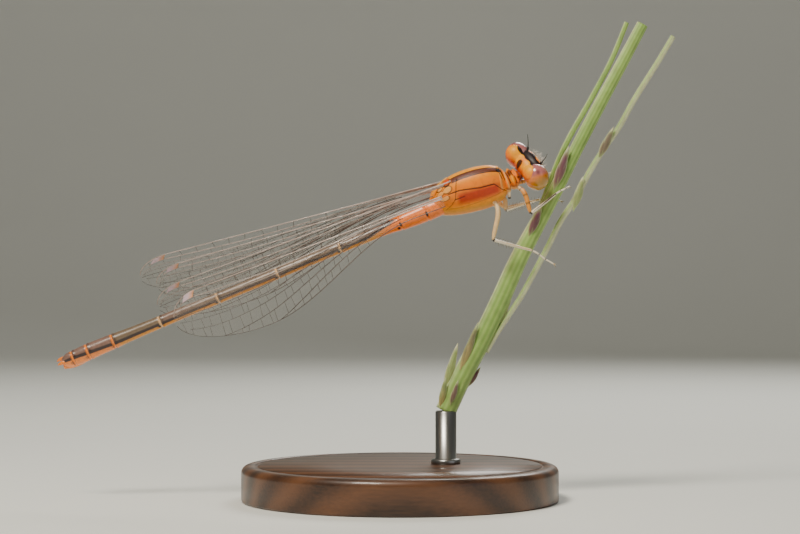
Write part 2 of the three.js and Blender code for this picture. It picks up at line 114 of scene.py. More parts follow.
class Shape:
    """Joined surfaces: points, faces and paint, which is a number at each point for each named layer."""

    def __init__(self):
        self.points, self.faces, self.paint, self.count = [], [], {}, 0

    def add(self, points, faces, **paint):
        """Joins on more points, faces that count from the first of them, and their paint."""
        points = np.asarray(points, float).reshape(-1, 3)
        for name in set(paint) | set(self.paint):
            rows = self.paint.setdefault(name, [np.zeros(self.count)] if self.count else [])
            rows.append(np.broadcast_to(np.ravel(paint.get(name, 0.0)), len(points)) * 1.0)
        self.points.append(points)
        self.faces += [np.asarray(f) + self.count for f in faces if len(f)]
        self.count += len(points)
        return self

    def grid(self, points, **paint):
        """A skin over rings of points: rows along, columns round, with each end closed on its middle."""
        rows, columns = points.shape[:2]
        index = np.arange(rows * columns).reshape(rows, columns)
        beside = np.roll(index, -1, axis=1)
        quads = np.stack([index[:-1], beside[:-1], beside[1:], index[1:]], -1).reshape(-1, 4)
        first, last = rows * columns, rows * columns + 1
        start = np.stack([np.full(columns, first), beside[0], index[0]], -1)
        finish = np.stack([np.full(columns, last), index[-1], beside[-1]], -1)
        every = np.concatenate([points.reshape(-1, 3), points[0].mean(0)[None], points[-1].mean(0)[None]])
        layers = {}
        for name, value in paint.items():
            value = np.broadcast_to(value, (rows, columns))
            layers[name] = np.concatenate([value.ravel(), [value[0].mean(), value[-1].mean()]])
        # The middle ring tells which way the faces look, and they are turned over if that is inwards
        ring, after = points[rows // 2], points[rows // 2 + 1]
        outward = np.cross(ring[1] - ring[0], after[0] - ring[0])
        if outward @ (ring[0] - ring.mean(0)) < 0:
            quads, start, finish = quads[:, ::-1], start[:, ::-1], finish[:, ::-1]
        return self.add(every, [quads, start, finish], **layers)

    def tube(self, path, radii, sides=8, squash=1.0, **paint):
        """A round profile carried along a path, turned as little as it can be from one ring to the next."""
        path = np.asarray(path, float)
        radii = np.broadcast_to(radii, len(path))
        along = unit(np.gradient(path, axis=0))
        side = np.cross(along[0], [0.3, 1.0, 0.2])
        rings = []
        angles = np.linspace(0, 2 * np.pi, sides, endpoint=False)
        for centre, tangent, radius in zip(path, along, radii):
            side = unit(side - tangent * (side @ tangent))
            other = np.cross(tangent, side)
            ring = np.cos(angles)[:, None] * side + squash * np.sin(angles)[:, None] * other
            rings.append(centre + radius * ring)
        layers = {}
        for name, value in paint.items():
            layers[name] = np.asarray(value)[:, None] if np.ndim(value) else value
        return self.grid(np.array(rings), **layers)

    def strands(self, roots, tips, root_radius, tip_radius, sides=4, **paint):
        """Many straight tapered rods at once, each from its root to its tip."""
        roots, tips = np.asarray(roots, float), np.asarray(tips, float)
        count = len(roots)
        along = unit(tips - roots)
        side = unit(np.cross(along, np.where(np.abs(along[:, :1]) < 0.7, [[1.0, 0, 0]], [[0, 1.0, 0]])))
        other = np.cross(along, side)
        angles = np.linspace(0, 2 * np.pi, sides, endpoint=False)
        ring = np.cos(angles)[None, :, None] * side[:, None] + np.sin(angles)[None, :, None] * other[:, None]
        thick, thin = (np.broadcast_to(r, count)[:, None, None] for r in (root_radius, tip_radius))
        points = np.concatenate([roots[:, None] + thick * ring, tips[:, None] + thin * ring], axis=1)
        base = np.arange(count)[:, None, None] * 2 * sides
        j = np.arange(sides)
        k = (j + 1) % sides
        quads = (np.stack([j, k, k + sides, j + sides], -1)[None] + base).reshape(-1, 4)
        ends = np.stack([j[::-1], j + sides])[None] + base
        layers = {name: np.repeat(np.broadcast_to(value, count), 2 * sides) for name, value in paint.items()}
        return self.add(points, [quads, ends.reshape(-1, sides)], **layers)

    def ball(self, centre, radii, where, rows, columns, **paint):
        """An ellipsoid about a centre in a part's own frame, its poles along its own y."""
        return self.grid(placed(sphere(rows, columns, 0.02) * radii + centre, where), **paint)

    def piece(self, name, material, replaces=()):
        """The finished Blender object, riding on the model's one body."""
        points = np.concatenate(self.points) * MM
        faces = [face for block in self.faces for face in block.tolist()]
        mesh = bpy.data.meshes.new(name)
        mesh.from_pydata(points.tolist(), [], faces)
        mesh.polygons.foreach_set("use_smooth", np.ones(len(faces), bool))
        for layer, rows in self.paint.items():
            mesh.attributes.new(layer, "FLOAT", "POINT").data.foreach_set("value", np.concatenate(rows))
        mesh.update()
        mesh.materials.append(material)
        obj = bpy.data.objects.new(name, mesh)
        bpy.context.scene.collection.objects.link(obj)
        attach(obj, "root")
        if replaces:
            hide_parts(*replaces)
        return obj


# Materials


def colour(hex_code):
    """Linear red, green and blue, with full alpha, from an sRGB hex code."""
    parts = [int(hex_code[i : i + 2], 16) / 255 for i in (1, 3, 5)]
    return (*(c / 12.92 if c <= 0.04045 else ((c + 0.055) / 1.055) ** 2.4 for c in parts), 1.0)


def add(tree, kind, inputs=None, **settings):
    """Adds a node with its settings, and fills its inputs with values or links."""
    node = tree.nodes.new(kind)
    for key, value in settings.items():
        setattr(node, key, value)
    for key, value in (inputs or {}).items():
        if isinstance(value, bpy.types.NodeSocket):
            tree.links.new(value, node.inputs[key])
        else:
            node.inputs[key].default_value = value
    return node


def bare_material(name):
    """A new material, its node tree, its shader, and the socket of the piece's own coordinates."""
    material = bpy.data.materials.new(name)
    material.use_nodes = True
    tree = material.node_tree
    place = add(tree, "ShaderNodeTexCoord").outputs["Object"]
    return material, tree, tree.nodes["Principled BSDF"], place


def painted(name, ground, layers=(), mottle=0.12, grain=0.25, relief=0.004, fine=0.03, **surface):
    """A surface of a ground colour under painted layers.

    Each layer is (attribute, hex colour). The mottle darkens and lightens the colour in patches a grain wide,
    and a bump of the relief's height has dimples of the fine size. All three sizes are in millimetres.
    """
    material, tree, shader, place = bare_material(name)
    patches = add(tree, "ShaderNodeTexNoise", {"Vector": place, "Scale": 1 / (grain * MM), "Detail": 4.0})
    tint = colour(ground)
    for attribute, hex_code in layers:
        mask = add(tree, "ShaderNodeAttribute", attribute_name=attribute).outputs["Fac"]
        mixed = add(tree, "ShaderNodeMix", {0: mask, 6: tint, 7: colour(hex_code)}, data_type="RGBA")
        tint = mixed.outputs[2]
    spread = {"From Min": 0.3, "From Max": 0.7, "To Min": 1 - mottle, "To Max": 1 + mottle}
    value = add(tree, "ShaderNodeMapRange", {"Value": patches.outputs["Fac"], **spread})
    shaded = add(tree, "ShaderNodeHueSaturation", {"Value": value.outputs["Result"], "Color": tint})
    dimples = add(tree, "ShaderNodeTexNoise", {"Vector": place, "Scale": 1 / (fine * MM), "Detail": 2.0})
    swell = {"Height": dimples.outputs["Fac"], "Strength": 0.6, "Distance": relief * MM}
    bump = add(tree, "ShaderNodeBump", swell)
    tree.links.new(shaded.outputs["Color"], shader.inputs["Base Color"])
    tree.links.new(bump.outputs["Normal"], shader.inputs["Normal"])
    for key, value in surface.items():
        shader.inputs[key.replace("_", " ").title().replace("Ior", "IOR")].default_value = value
    return material


# Living cuticle: a waxy hard skin over soft tissue, so it shines softly
ORANGE = painted(
    "living_orange_cuticle",
    "#FF8600",
    [
        ("yellow", "#FFAA00"), ("deep", "#CC2C00"), ("olive", "#B88A00"), ("pale", "#F2C070"),
        ("rose", "#703830"), ("dark", "#1C080C"),
    ],
    mottle=0.1,
    roughness=0.5,
    ior=1.45,
    coat_weight=0.04,
    coat_roughness=0.2,
)
# Abdomen's upper side: dark cuticle with a bronze sheen over ochre flanks
BRONZE = painted(
    "bronze_sheened_abdomen_cuticle",
    "#FF7C00",
    [
        ("ochre", "#D89000"), ("bronze", "#78635A"), ("olive", "#6A623E"), ("maroon", "#240808"),
        ("ring", "#F0C088"), ("ember", "#FF8A1A"), ("dark", "#140808"),
    ],
    mottle=0.16,
    grain=0.18,
    roughness=0.34,
    ior=1.56,
    coat_weight=0.2,
    coat_roughness=0.25,
)
# Compound eye: thousands of tiny lenses under a clear shell, so a smooth gloss over a banded colour
EYE = painted(
    "compound_eye_lenses",
    "#E07400",
    [("olive", "#A88400"), ("mauve", "#B47078"), ("spot", "#4A2030"), ("pale", "#F0DCD8")],
    mottle=0.08,
    grain=0.2,
    relief=0.002,
    fine=0.02,
    roughness=0.22,
    ior=1.48,
    coat_weight=0.8,
    coat_roughness=0.06,
)
# Feelers: black horny cuticle, smooth, with a small hard highlight
BRISTLE = painted("black_horny_bristle", "#1C1416", roughness=0.35, ior=1.54)
# Face hair: fine dry pale grey bristles that catch the light
HAIR = painted("grey_face_hair", "#D8D2C8", roughness=0.5, ior=1.54)
# Leg cuticle: thin and straw-coloured, tanned where it is thick, with dark joints and lines
LEG = painted(
    "straw_leg_cuticle",
    "#F0D29A",
    [("tan", "#DE8A1C"), ("pale", "#F6EBD2"), ("dark", "#1E1414")],
    mottle=0.1,
    grain=0.12,
    roughness=0.38,
    ior=1.5,
    coat_weight=0.2,
)
# Wing veins: hollow tubes of tanned grey-brown cuticle, glossy, pale with a painted highlight by the root,
# dark where they are thin
VEIN = painted(
    "copper_wing_vein",
    "#8E7062",
    [("dark", "#33261F"), ("bright", "#F4E4DA")],
    mottle=0.2,
    grain=0.4,
    roughness=0.3,
    ior=1.55,
    coat_weight=0.3,
)
# Stigma: the thickened cell by a wing's tip, dull lilac with a soft gloss
STIGMA = painted("lilac_wing_stigma", "#D6BCC6", [("ember", "#E0A070")], roughness=0.4, ior=1.5)
# Fresh grass: a waxy green skin, lighter on its ribs, with a painted pale sheen at its edges, over pith that
# lets light through
GRASS = painted(
    "fresh_ribbed_grass",
    "#98B85E",
    [
        ("light", "#B8D080"), ("pale", "#EFEFCB"), ("shade", "#6C9440"), ("purple", "#642C46"),
        ("cream", "#E8E0C4"), ("straw", "#B9A566"),
    ],
    mottle=0.12,
    grain=0.5,
    roughness=0.48,
    ior=1.45,
    subsurface_weight=0.08,
    subsurface_scale=0.0002,
)


def membrane_finish():
    """Wing membrane: a dry clear film a few microns thick, seen by its sheen and a faint warm tint."""
    material, tree, shader, place = bare_material("dry_clear_wing_film")
    cells = add(tree, "ShaderNodeTexNoise", {"Vector": place, "Scale": 1 / (0.9 * MM), "Detail": 2.0})
    hues = {0: cells.outputs["Fac"], 6: colour("#E9E4D6"), 7: colour("#F1E6DC")}
    tint = add(tree, "ShaderNodeMix", hues, data_type="RGBA")
    swell = {"Height": cells.outputs["Fac"], "Strength": 0.5, "Distance": 0.05 * MM}
    ripple = add(tree, "ShaderNodeBump", swell)
    tree.links.new(tint.outputs[2], shader.inputs["Base Color"])
    tree.links.new(ripple.outputs["Normal"], shader.inputs["Normal"])
    shader.inputs["Alpha"].default_value = 0.03
    shader.inputs["Roughness"].default_value = 0.16
    shader.inputs["IOR"].default_value = 1.55
    return material


FILM = membrane_finish()


def wood_finish():
    """Turned hardwood: growth rings across the disc, drawn out along the grain, under a thin oil finish."""
    material, tree, shader, place = bare_material("oiled_turned_walnut")
    mapping = {"Vector": place, "Scale": (0.12, 1.0, 1.0), "Location": (0, 0.02, 0.008)}
    along = add(tree, "ShaderNodeMapping", mapping).outputs["Vector"]
    warp = add(tree, "ShaderNodeTexNoise", {"Vector": along, "Scale": 1 / (6 * MM), "Detail": 3.0})
    rings = add(
        tree,
        "ShaderNodeTexWave",
        {"Vector": along, "Scale": 1 / (5.5 * MM), "Distortion": 3.0, "Detail": 3.0},
        wave_type="RINGS",
        rings_direction="X",
    )
    fibres = add(tree, "ShaderNodeTexNoise", {"Vector": along, "Scale": 1 / (0.12 * MM)})
    grain = add(tree, "ShaderNodeMix", {0: 0.45, 2: rings.outputs["Fac"], 3: warp.outputs["Fac"]})
    streak = add(tree, "ShaderNodeMix", {0: 0.3, 2: grain.outputs[0], 3: fibres.outputs["Fac"]})
    ramp = add(tree, "ShaderNodeValToRGB", {"Fac": streak.outputs[0]})
    ramp.color_ramp.elements[0].position = 0.25
    ramp.color_ramp.elements[0].color = colour("#2E1C12")
    ramp.color_ramp.elements[1].position = 0.75
    ramp.color_ramp.elements[1].color = colour("#6A4429")
    tree.links.new(ramp.outputs["Color"], shader.inputs["Base Color"])
    swell = {"Height": fibres.outputs["Fac"], "Strength": 0.35, "Distance": 0.02 * MM}
    bump = add(tree, "ShaderNodeBump", swell)
    tree.links.new(bump.outputs["Normal"], shader.inputs["Normal"])
    shader.inputs["Roughness"].default_value = 0.42
    shader.inputs["Coat Weight"].default_value = 0.25
    return material


def steel_finish():
    """Drawn steel rod: fine scratches along its length spread the shine.

    They are drawn coarser than real ones, so that they show.
    """
    material, tree, shader, place = bare_material("drawn_steel_rod")
    along = add(tree, "ShaderNodeMapping", {"Vector": place, "Scale": (1.0, 1.0, 0.04)}).outputs["Vector"]
    lines = add(tree, "ShaderNodeTexNoise", {"Vector": along, "Scale": 1 / (0.03 * MM)})
    rough = add(tree, "ShaderNodeMapRange", {"Value": lines.outputs["Fac"], "To Min": 0.22, "To Max": 0.42})
    hues = {0: lines.outputs["Fac"], 6: colour("#8E8F8E"), 7: colour("#B4B4B0")}
    tint = add(tree, "ShaderNodeMix", hues, data_type="RGBA")
    tree.links.new(tint.outputs[2], shader.inputs["Base Color"])
    tree.links.new(rough.outputs["Result"], shader.inputs["Roughness"])
    shader.inputs["Metallic"].default_value = 1.0
    return material


# Thorax and prothorax


def barrel(x, half, top, bottom, columns, roof=2.0):
    """Rings along x, with the turn in degrees from the back towards the right side at each point.

    The upper half of a ring is as high as top and the lower half as deep as bottom. Both are ellipses where
    roof is 2. Above 2 the upper half's sides are fuller, and under 2 they are drawn in towards a keel.
    """
    angle = np.linspace(0, 2 * np.pi, columns, endpoint=False)[None]
    c, s = np.cos(angle), np.sin(angle)
    upper = s > 0
    across = np.where(upper, np.sign(c) * np.abs(c) ** (2 / roof), c)
    height = np.where(upper, top[:, None] * s, -bottom[:, None] * s)
    points = np.stack([x[:, None] + 0 * angle, half[:, None] * across, height], -1)
    turn = (np.degrees(angle) - 90 + 180) % 360 - 180
    return points, turn + 0 * x[:, None]


def pushed(points, amount):
    """Points of a body along x, moved out from its axis by an amount."""
    return points + unit(points * [0, 1, 1]) * amount[..., None]


# Small hard plates about the wings' roots: place along, turn, half length, half turn
WING_PLATES = (
    (-1.33, 24, 0.25, 11),
    (-1.58, 50, 0.26, 8),
    (-1.76, 26, 0.2, 9),
    (-1.72, 4, 0.16, 9),
    (-1.3, -32, 0.2, 9),
    (-1.65, -28, 0.18, 9),
)


def patch(along, turn, x, angle, length, width):
    """One inside an oval of the barrel about (x, angle), and none outside it, over a soft edge."""
    return step(-np.hypot((along - x) / length, (turn - angle) / width), -1, 0.22)


# The raised knob between the wings' roots: place along, and turn
BOSS_PLACE = (-1.27, -4)
# How far the thorax's forms stand out or are sunk
KEEL_RISE, COLLAR_RISE, BOSS_RISE, PLATE_RISE = 0.03, 0.05, 0.09, 0.04
SEAM_DEPTH, PLATE_RIM_DEPTH = 0.03, 0.02
# Thorax stations from rear to front: place along, half width, height of the back, level of the underside
THORAX_STATIONS = np.array([
    [-2.42, 0.1, 0.05, -0.5],
    [-2.3, 0.4, 0.25, -0.78],
    [-2.0, 0.66, 0.62, -1.08],
    [-1.5, 0.84, 1.0, -1.28],
    [-0.9, 0.98, 1.27, -1.36],
    [-0.1, 1.05, 1.42, -1.4],
    [0.8, 1.02, 1.42, -1.4],
    [1.4, 0.92, 1.28, -1.26],
    [1.8, 0.74, 1.02, -0.98],
    [2.0, 0.54, 0.72, -0.68],
    [2.1, 0.25, 0.3, -0.4],
])


def thorax_skin(shape):
    """The barrel through the thorax's stations, painted by place and turn.

    Its seams and grooves are sunk, and its keel, collar, knob and wing plates raised. The panel and most of
    the seams are on the right side.
    """
    place, *sizes = THORAX_STATIONS.T
    x = np.interp(np.linspace(0, 1, 220), np.linspace(0, 1, len(place)), place)
    half, top, bottom = (flow(x, place, size) for size in sizes)
    points, turn = barrel(x, half, top, bottom, 240, roof=2.15)
    along = x[:, None]
    humeral = turn - 40 - 9 * np.clip((along + 0.7) / 1.2, 0, 1) - 75 * np.clip(along - 1.3, 0, 1) ** 1.2
    crease = band(humeral, 1.6, 1.6) * step(along, -1.35, 0.1) * step(-along, -1.95, 0.1)
    left_crease = band(turn + 46, 1.6, 1.6) * step(along, -1.35, 0.1)
    lower_seam = band(turn - 88 + 4 * along, 1.4, 1.6) * step(along, -1.5, 0.1)
    middle_seam = band(turn - 57 + 6 * along, 1.3, 1.6) * band(along + 0.75, 0.3, 0.06)
    rear_line = along + 0.69 + 0.0055 * (turn - 4) + 0.0125 * np.clip(turn - 62, 0, 60)
    rear_seam = band(rear_line, 0.026, 0.03) * band(turn - 50, 48, 6)
    keel = band(turn, 1.6, 2.0) * band(along - 0.3, 1.35, 0.2)
    collar = band(along - 1.82 + 0.0015 * np.abs(turn), 0.06, 0.05) * band(turn, 75, 10)
    front_groove = np.clip(
        band(along - 1.86 - 0.003 * turn, 0.03, 0.03) * band(turn - 14, 34, 8)
        + band(along - 1.72 - 0.003 * turn, 0.025, 0.03) * band(turn - 10, 28, 8),
        0,
        1,
    )
    boss = patch(along, turn, *BOSS_PLACE, 0.2, 12)
    boss_rim = patch(along, turn, *BOSS_PLACE, 0.26, 17) - boss
    plates = sum(patch(along, turn, *plate) for plate in WING_PLATES)
    rims = sum(
        patch(along, turn, at, angle, 1.15 * long + 0.01, 1.2 * wide) for at, angle, long, wide in WING_PLATES
    )
    rims = np.clip(rims, 0, 1) - np.clip(plates, 0, 1)
    sink = SEAM_DEPTH * (crease + left_crease + lower_seam + middle_seam + rear_seam + front_groove)
    swell = BOSS_RISE * boss + PLATE_RISE * plates - PLATE_RIM_DEPTH * rims
    points = pushed(points, KEEL_RISE * keel + COLLAR_RISE * collar - sink + swell)
    stripe = band(turn, 8.5, 2.0) * band(along - 0.45, 1.45, 0.12)
    stripe_edge = band(np.abs(turn) - 8.0, 1.6, 1.2) * band(along - 0.45, 1.45, 0.12)
    panel = band(turn - 64, 15, 15) * band(along - 0.35, 1.2, 0.25)
    knot = band(np.hypot(along - 1.74, turn / 60), 0.14, 0.05)
    shape.grid(
        placed(points, THORAX),
        yellow=0.75 * band(turn + 22, 14, 8) + 0.3 * band(turn - 15, 10, 10) + 0.5 * band(turn - 98, 14, 12),
        deep=0.9 * panel + 0.8 * boss,
        olive=0.5 * band(turn - 112, 16, 14) + 0.7 * band(turn + 100, 30, 20),
        pale=0.85 * band(turn - 138, 9, 6) + 0.55 * np.clip(plates, 0, 1) + 0.5 * collar
        + 0.5 * band(np.abs(turn) - 165, 15, 10),
        rose=0.9 * stripe * (1 - stripe_edge),
        dark=np.clip(
            0.45 * stripe + stripe_edge + crease + 0.8 * left_crease + 0.9 * middle_seam + 0.75 * rear_seam
            + 0.3 * lower_seam + knot + 0.9 * front_groove + 0.95 * boss_rim + 0.9 * rims,
            0,
            1,
        ),
    )


def prothorax_skin(shape):
    """A barrel whose width and height flow through nine stations.

    They make a raised hind rim, two side swellings with a dimple between them, and a front ring, over a soft
    neck.
    """
    x = np.linspace(-0.7, 0.62, 90)
    xs = [-0.7, -0.5, -0.32, -0.18, 0.0, 0.18, 0.3, 0.42, 0.62]
    half = flow(x, xs, [0.5, 0.62, 0.72, 0.5, 0.68, 0.5, 0.52, 0.36, 0.24])
    top = flow(x, xs, [0.4, 0.5, 0.66, 0.4, 0.56, 0.38, 0.46, 0.3, 0.24])
    bottom = flow(x, xs, [-0.5, -0.6, -0.66, -0.62, -0.62, -0.55, -0.45, -0.34, -0.24])
    points, turn = barrel(x, half, top, bottom, 96)
    along = x[:, None]
    dimple = band(turn, 9, 6) * band(along, 0.14, 0.05)
    points = pushed(points, -0.06 * dimple)
    shape.grid(
        placed(points, PROTHORAX),
        yellow=0.9 * band(np.abs(turn) - 42, 20, 8) * band(along, 0.12, 0.06),
        pale=0.6 * band(along + 0.34, 0.07, 0.05) + 0.7 * band(np.abs(turn) - 125, 30, 12),
        rose=0.9 * step(along, 0.4, 0.08) + 0.5 * band(np.abs(turn) - 90, 10, 10),
        dark=np.clip(
            band(along + 0.18, 0.035, 0.03) * band(turn, 70, 10)
            + 0.9 * band(along - 0.17, 0.03, 0.03) * band(np.abs(turn) - 55, 30, 10)
            + 0.85 * band(turn, 20, 8) * band(along, 0.13, 0.05)
            + 0.8 * band(np.hypot(along - 0.36, (np.abs(turn) - 48) / 110), 0.09, 0.04),
            0,
            1,
        ),
    )


# Head

HEAD_WIDTH = 3.52
EYE_RADII = np.array([0.68, 0.72, 0.8])
EYE_OFFSET = HEAD_WIDTH / 2 - 0.72
HEAD_BLEND = 14
# Ellipsoids of the head as centre and radii: skull, left lobe, right lobe, forehead, face, mouth parts
HEAD_PARTS = [
    ((0, 0, 0.04), (0.56, 1.2, 0.64)),
    ((-0.14, 0.94, 0.3), (0.54, 0.58, 0.58)),
    ((-0.17, -0.88, 0.26), (0.5, 0.56, 0.55)),
    ((0.37, 0, 0.26), (0.37, 0.92, 0.44)),
    ((0.54, 0, -0.26), (0.28, 0.5, 0.3)),
    ((0.2, 0, -0.55), (0.42, 0.5, 0.32)),
]


def head_skin(shape):
    """The farthest of several ellipsoids along each ray from the head's middle, blended where they meet.

    The reach along a ray is a root of the sum of the ellipsoids' own reaches, each raised to the blend's
    power.
    """
    latitude = np.linspace(-89, 89, 200)[:, None] * np.pi / 180
    longitude = np.linspace(0, 2 * np.pi, 240, endpoint=False)[None]
    level = np.cos(latitude)
    sides = [level * np.cos(longitude), np.sin(latitude) + 0 * longitude, level * np.sin(longitude)]
    ray = np.stack(sides, -1)
    reach = np.zeros(ray.shape[:2])
    for centre, radii in HEAD_PARTS:
        scaled, offset = ray / radii, np.array(centre) / radii
        a, b, c = (scaled**2).sum(-1), -2 * scaled @ offset, offset @ offset - 1
        inside = b * b - 4 * a * c
        exit_at = np.where(inside > 0, (-b + np.sqrt(np.maximum(inside, 0))) / (2 * a), 0)
        reach += np.maximum(exit_at, 0) ** HEAD_BLEND
    points = ray * (reach ** (1 / HEAD_BLEND))[..., None]
    x, y, z = points[..., 0], points[..., 1], points[..., 2]
    mouth = band(z + 0.4, 0.02, 0.03) * step(x, 0.35, 0.1)
    mid_groove = band(y, 0.03, 0.04) * step(z, 0.2, 0.1) * step(-x, 0.05, 0.1)
    socket = sum(
        band(np.linalg.norm(points - [0.5, side * 0.55, 0.36], axis=-1), 0.12, 0.05) for side in (1, -1)
    )
    points = points * (1 - 0.06 * (mouth + 0.4 * mid_groove + 0.6 * socket))[..., None]
    top = step(z, 0.22, 0.08)
    mask = band(x - 0.27 - 0.03 * np.cos(5 * y), 0.27 + 0.05 * np.cos(9 * y), 0.04) * band(y, 1.05, 0.1) * top
    neck_hole = band(np.hypot(x + 0.4, y - 0.06), 0.17, 0.05) * step(z, 0.1, 0.1)
    lobes = band(np.abs(y) - 0.66, 0.5, 0.3) * band(x + 0.16, 0.36, 0.2) * step(z, 0.2, 0.2)
    lip_line = band(z + 0.06, 0.03, 0.03) * step(x, 0.55, 0.08)
    shape.grid(
        placed(points, HEAD),
        yellow=np.clip(1.1 * lobes, 0, 1),
        deep=0.6 * step(-x, 0.4, 0.2) * step(0.45 - z, 0.1, 0.2),
        olive=0.5 * step(-z, 0.3, 0.15),
        pale=0.8 * band(x - 0.62, 0.05, 0.04) * band(y, 0.75, 0.1) * step(z, 0.1, 0.06)
        + 0.6 * band(z + 0.28, 0.06, 0.05) * step(x, 0.5, 0.08),
        rose=0.5 * neck_hole,
        dark=np.clip(mask + 0.9 * neck_hole + mouth + 0.7 * lip_line, 0, 1),
    )


def eye_piece(name, side):
    """An ellipsoid, painted by the place on the unit sphere that it is scaled from.

    It has a mauve cap with a darker spot, amber sides, olive low on its outer side, a pale painted highlight
    on its upper inner side as a sheen, and a pale line round its rear.
    """
    shape = Shape()
    ball = sphere(90, 120, 0.01)
    points = ball * EYE_RADII + [0.05, side * EYE_OFFSET, 0.02]
    x, y, z = ball[..., 0], ball[..., 1] * side, ball[..., 2]
    cap = step(z + 0.15 * x - 0.6 * y, 0.36, 0.3)
    spot_place = unit(np.array([-0.1, 0.45, 0.9]))
    from_spot = np.linalg.norm(ball * [1, side, 1] - spot_place, axis=-1)
    # Painted highlight: a pale sheen on the eye's upper inner side
    sheen = step(-y, 0.42, 0.12) * step(z, 0.3, 0.2)
    rear_line = band(z + 0.1 * y, 0.03, 0.1) * step(-x, 0.4, 0.3)
    shape.grid(
        placed(points, HEAD),
        mauve=0.85 * cap,
        olive=0.8 * step(y - 0.35 * z, 0.6, 0.5) * (1 - cap),
        spot=0.6 * band(from_spot, 0.16, 0.16),
        pale=0.15 * sheen + 0.35 * rear_line,
    )
    return shape.piece(name, EYE, [name])


def ocelli(shape):
    """Three simple eyes in a triangle, set so low in the crown that its skin covers them."""
    for x, y in ((0.42, 0.0), (0.26, 0.17), (0.26, -0.17)):
        shape.ball((x, y, 0.53 - 0.35 * x), (0.065, 0.065, 0.05), HEAD, 14, 20, pale=0.75)


def face_hairs(shape):
    """Fine hairs on an oval dome over the face, leaning forwards, at seeded random places and lengths."""
    count = 150
    y = rng.uniform(-0.55, 0.55, count)
    z = rng.uniform(-0.5, 0.42, count)
    x = 0.44 + 0.3 * np.sqrt(np.maximum(0, 1 - (y / 0.75) ** 2 - ((z + 0.05) / 0.62) ** 2))
    roots = np.stack([x, y, z], -1)
    lean = unit(np.stack([np.ones(count), 0.5 * y, 0.7 * z + 0.25], -1) + rng.normal(0, 0.18, (count, 3)))
    tips = roots + lean * rng.uniform(0.22, 0.52, count)[:, None]
    shape.strands(placed(roots, HEAD), placed(tips, HEAD), 0.018, 0.006, sides=3)


# Feelers: side, and tip in the head's own frame
FEELERS = {"left": (1, (0.79, 1.05, 1.3)), "right": (-1, (0.99, -0.75, 1.1))}


def feeler_piece(name, side, tip):
    """Two stout joints and a thin bristle, as radii along a straight line bent by a half sine."""
    shape = Shape()
    root = np.array([0.44, side * 0.6, 0.36])
    share = np.linspace(0, 1, 40)[:, None]
    path = root + share * (np.array(tip) - root) + 0.06 * np.sin(np.pi * share) * np.array([1.0, 0, -1.0])
    stops = [0, 0.12, 0.16, 0.3, 0.34, 0.38, 1]
    radii = np.interp(share[:, 0], stops, [0.09, 0.085, 0.06, 0.07, 0.045, 0.028, 0.012])
    shape.tube(placed(path, HEAD), radii, 12)
    return shape.piece(name, BRISTLE, [name])


# Abdomen

# Where the abdomen's segments meet, from its root, and where its skin ends
JOINTS = np.array([0.7, 2.3, 5.96, 9.79, 13.45, 16.97, 19.86, 21.4, 22.32])
ABDOMEN_END = 22.95
# How far its forms stand out or are sunk: rims, joints, the middle's bow, the underside by the valves
RIM_RISE, PINCH_DEPTH, BOW_HEIGHT, VALVE_BULGE = 0.022, 0.035, 0.1, 0.13
# Place along and width
ABDOMEN_WIDTHS = np.array([
    [-0.25, 1.06], [0.3, 1.1], [1.2, 1.06], [2.1, 0.96], [2.9, 0.76], [4.4, 0.7], [8.0, 0.67], [12, 0.67],
    [15.5, 0.7], [18.5, 0.78], [20.4, 0.92], [21.6, 0.94], [22.2, 0.86], [22.7, 0.74], [ABDOMEN_END, 0.48],
])
# The left clasper's path
CLASPER = np.array([[-22.7, 0.13, 0.1], [-22.95, 0.16, 0.12], [-23.15, 0.165, 0.11], [-23.28, 0.15, 0.08]])


def abdomen_ends(shape):
    """Two claspers as tapered tubes, and two egg-laying valves as blades, as wide as a half sine's root."""
    for hand in (1, -1):
        shape.tube(placed(CLASPER * [1, hand, 1], ABDOMEN), [0.12, 0.11, 0.075, 0.02], 12, ember=0.9)
        blade = np.linspace(0, 1, 24)
        path = np.stack([-21.6 - 1.45 * blade, 0.045 * hand + 0 * blade, -0.46 + 0.12 * blade**2], -1)
        width = 0.2 * np.sin(np.pi * np.clip(blade * 0.84 + 0.06, 0, 1)) ** 0.5
        shape.tube(placed(path, ABDOMEN), width, 16, squash=0.6, ember=0.6, ring=0.5)


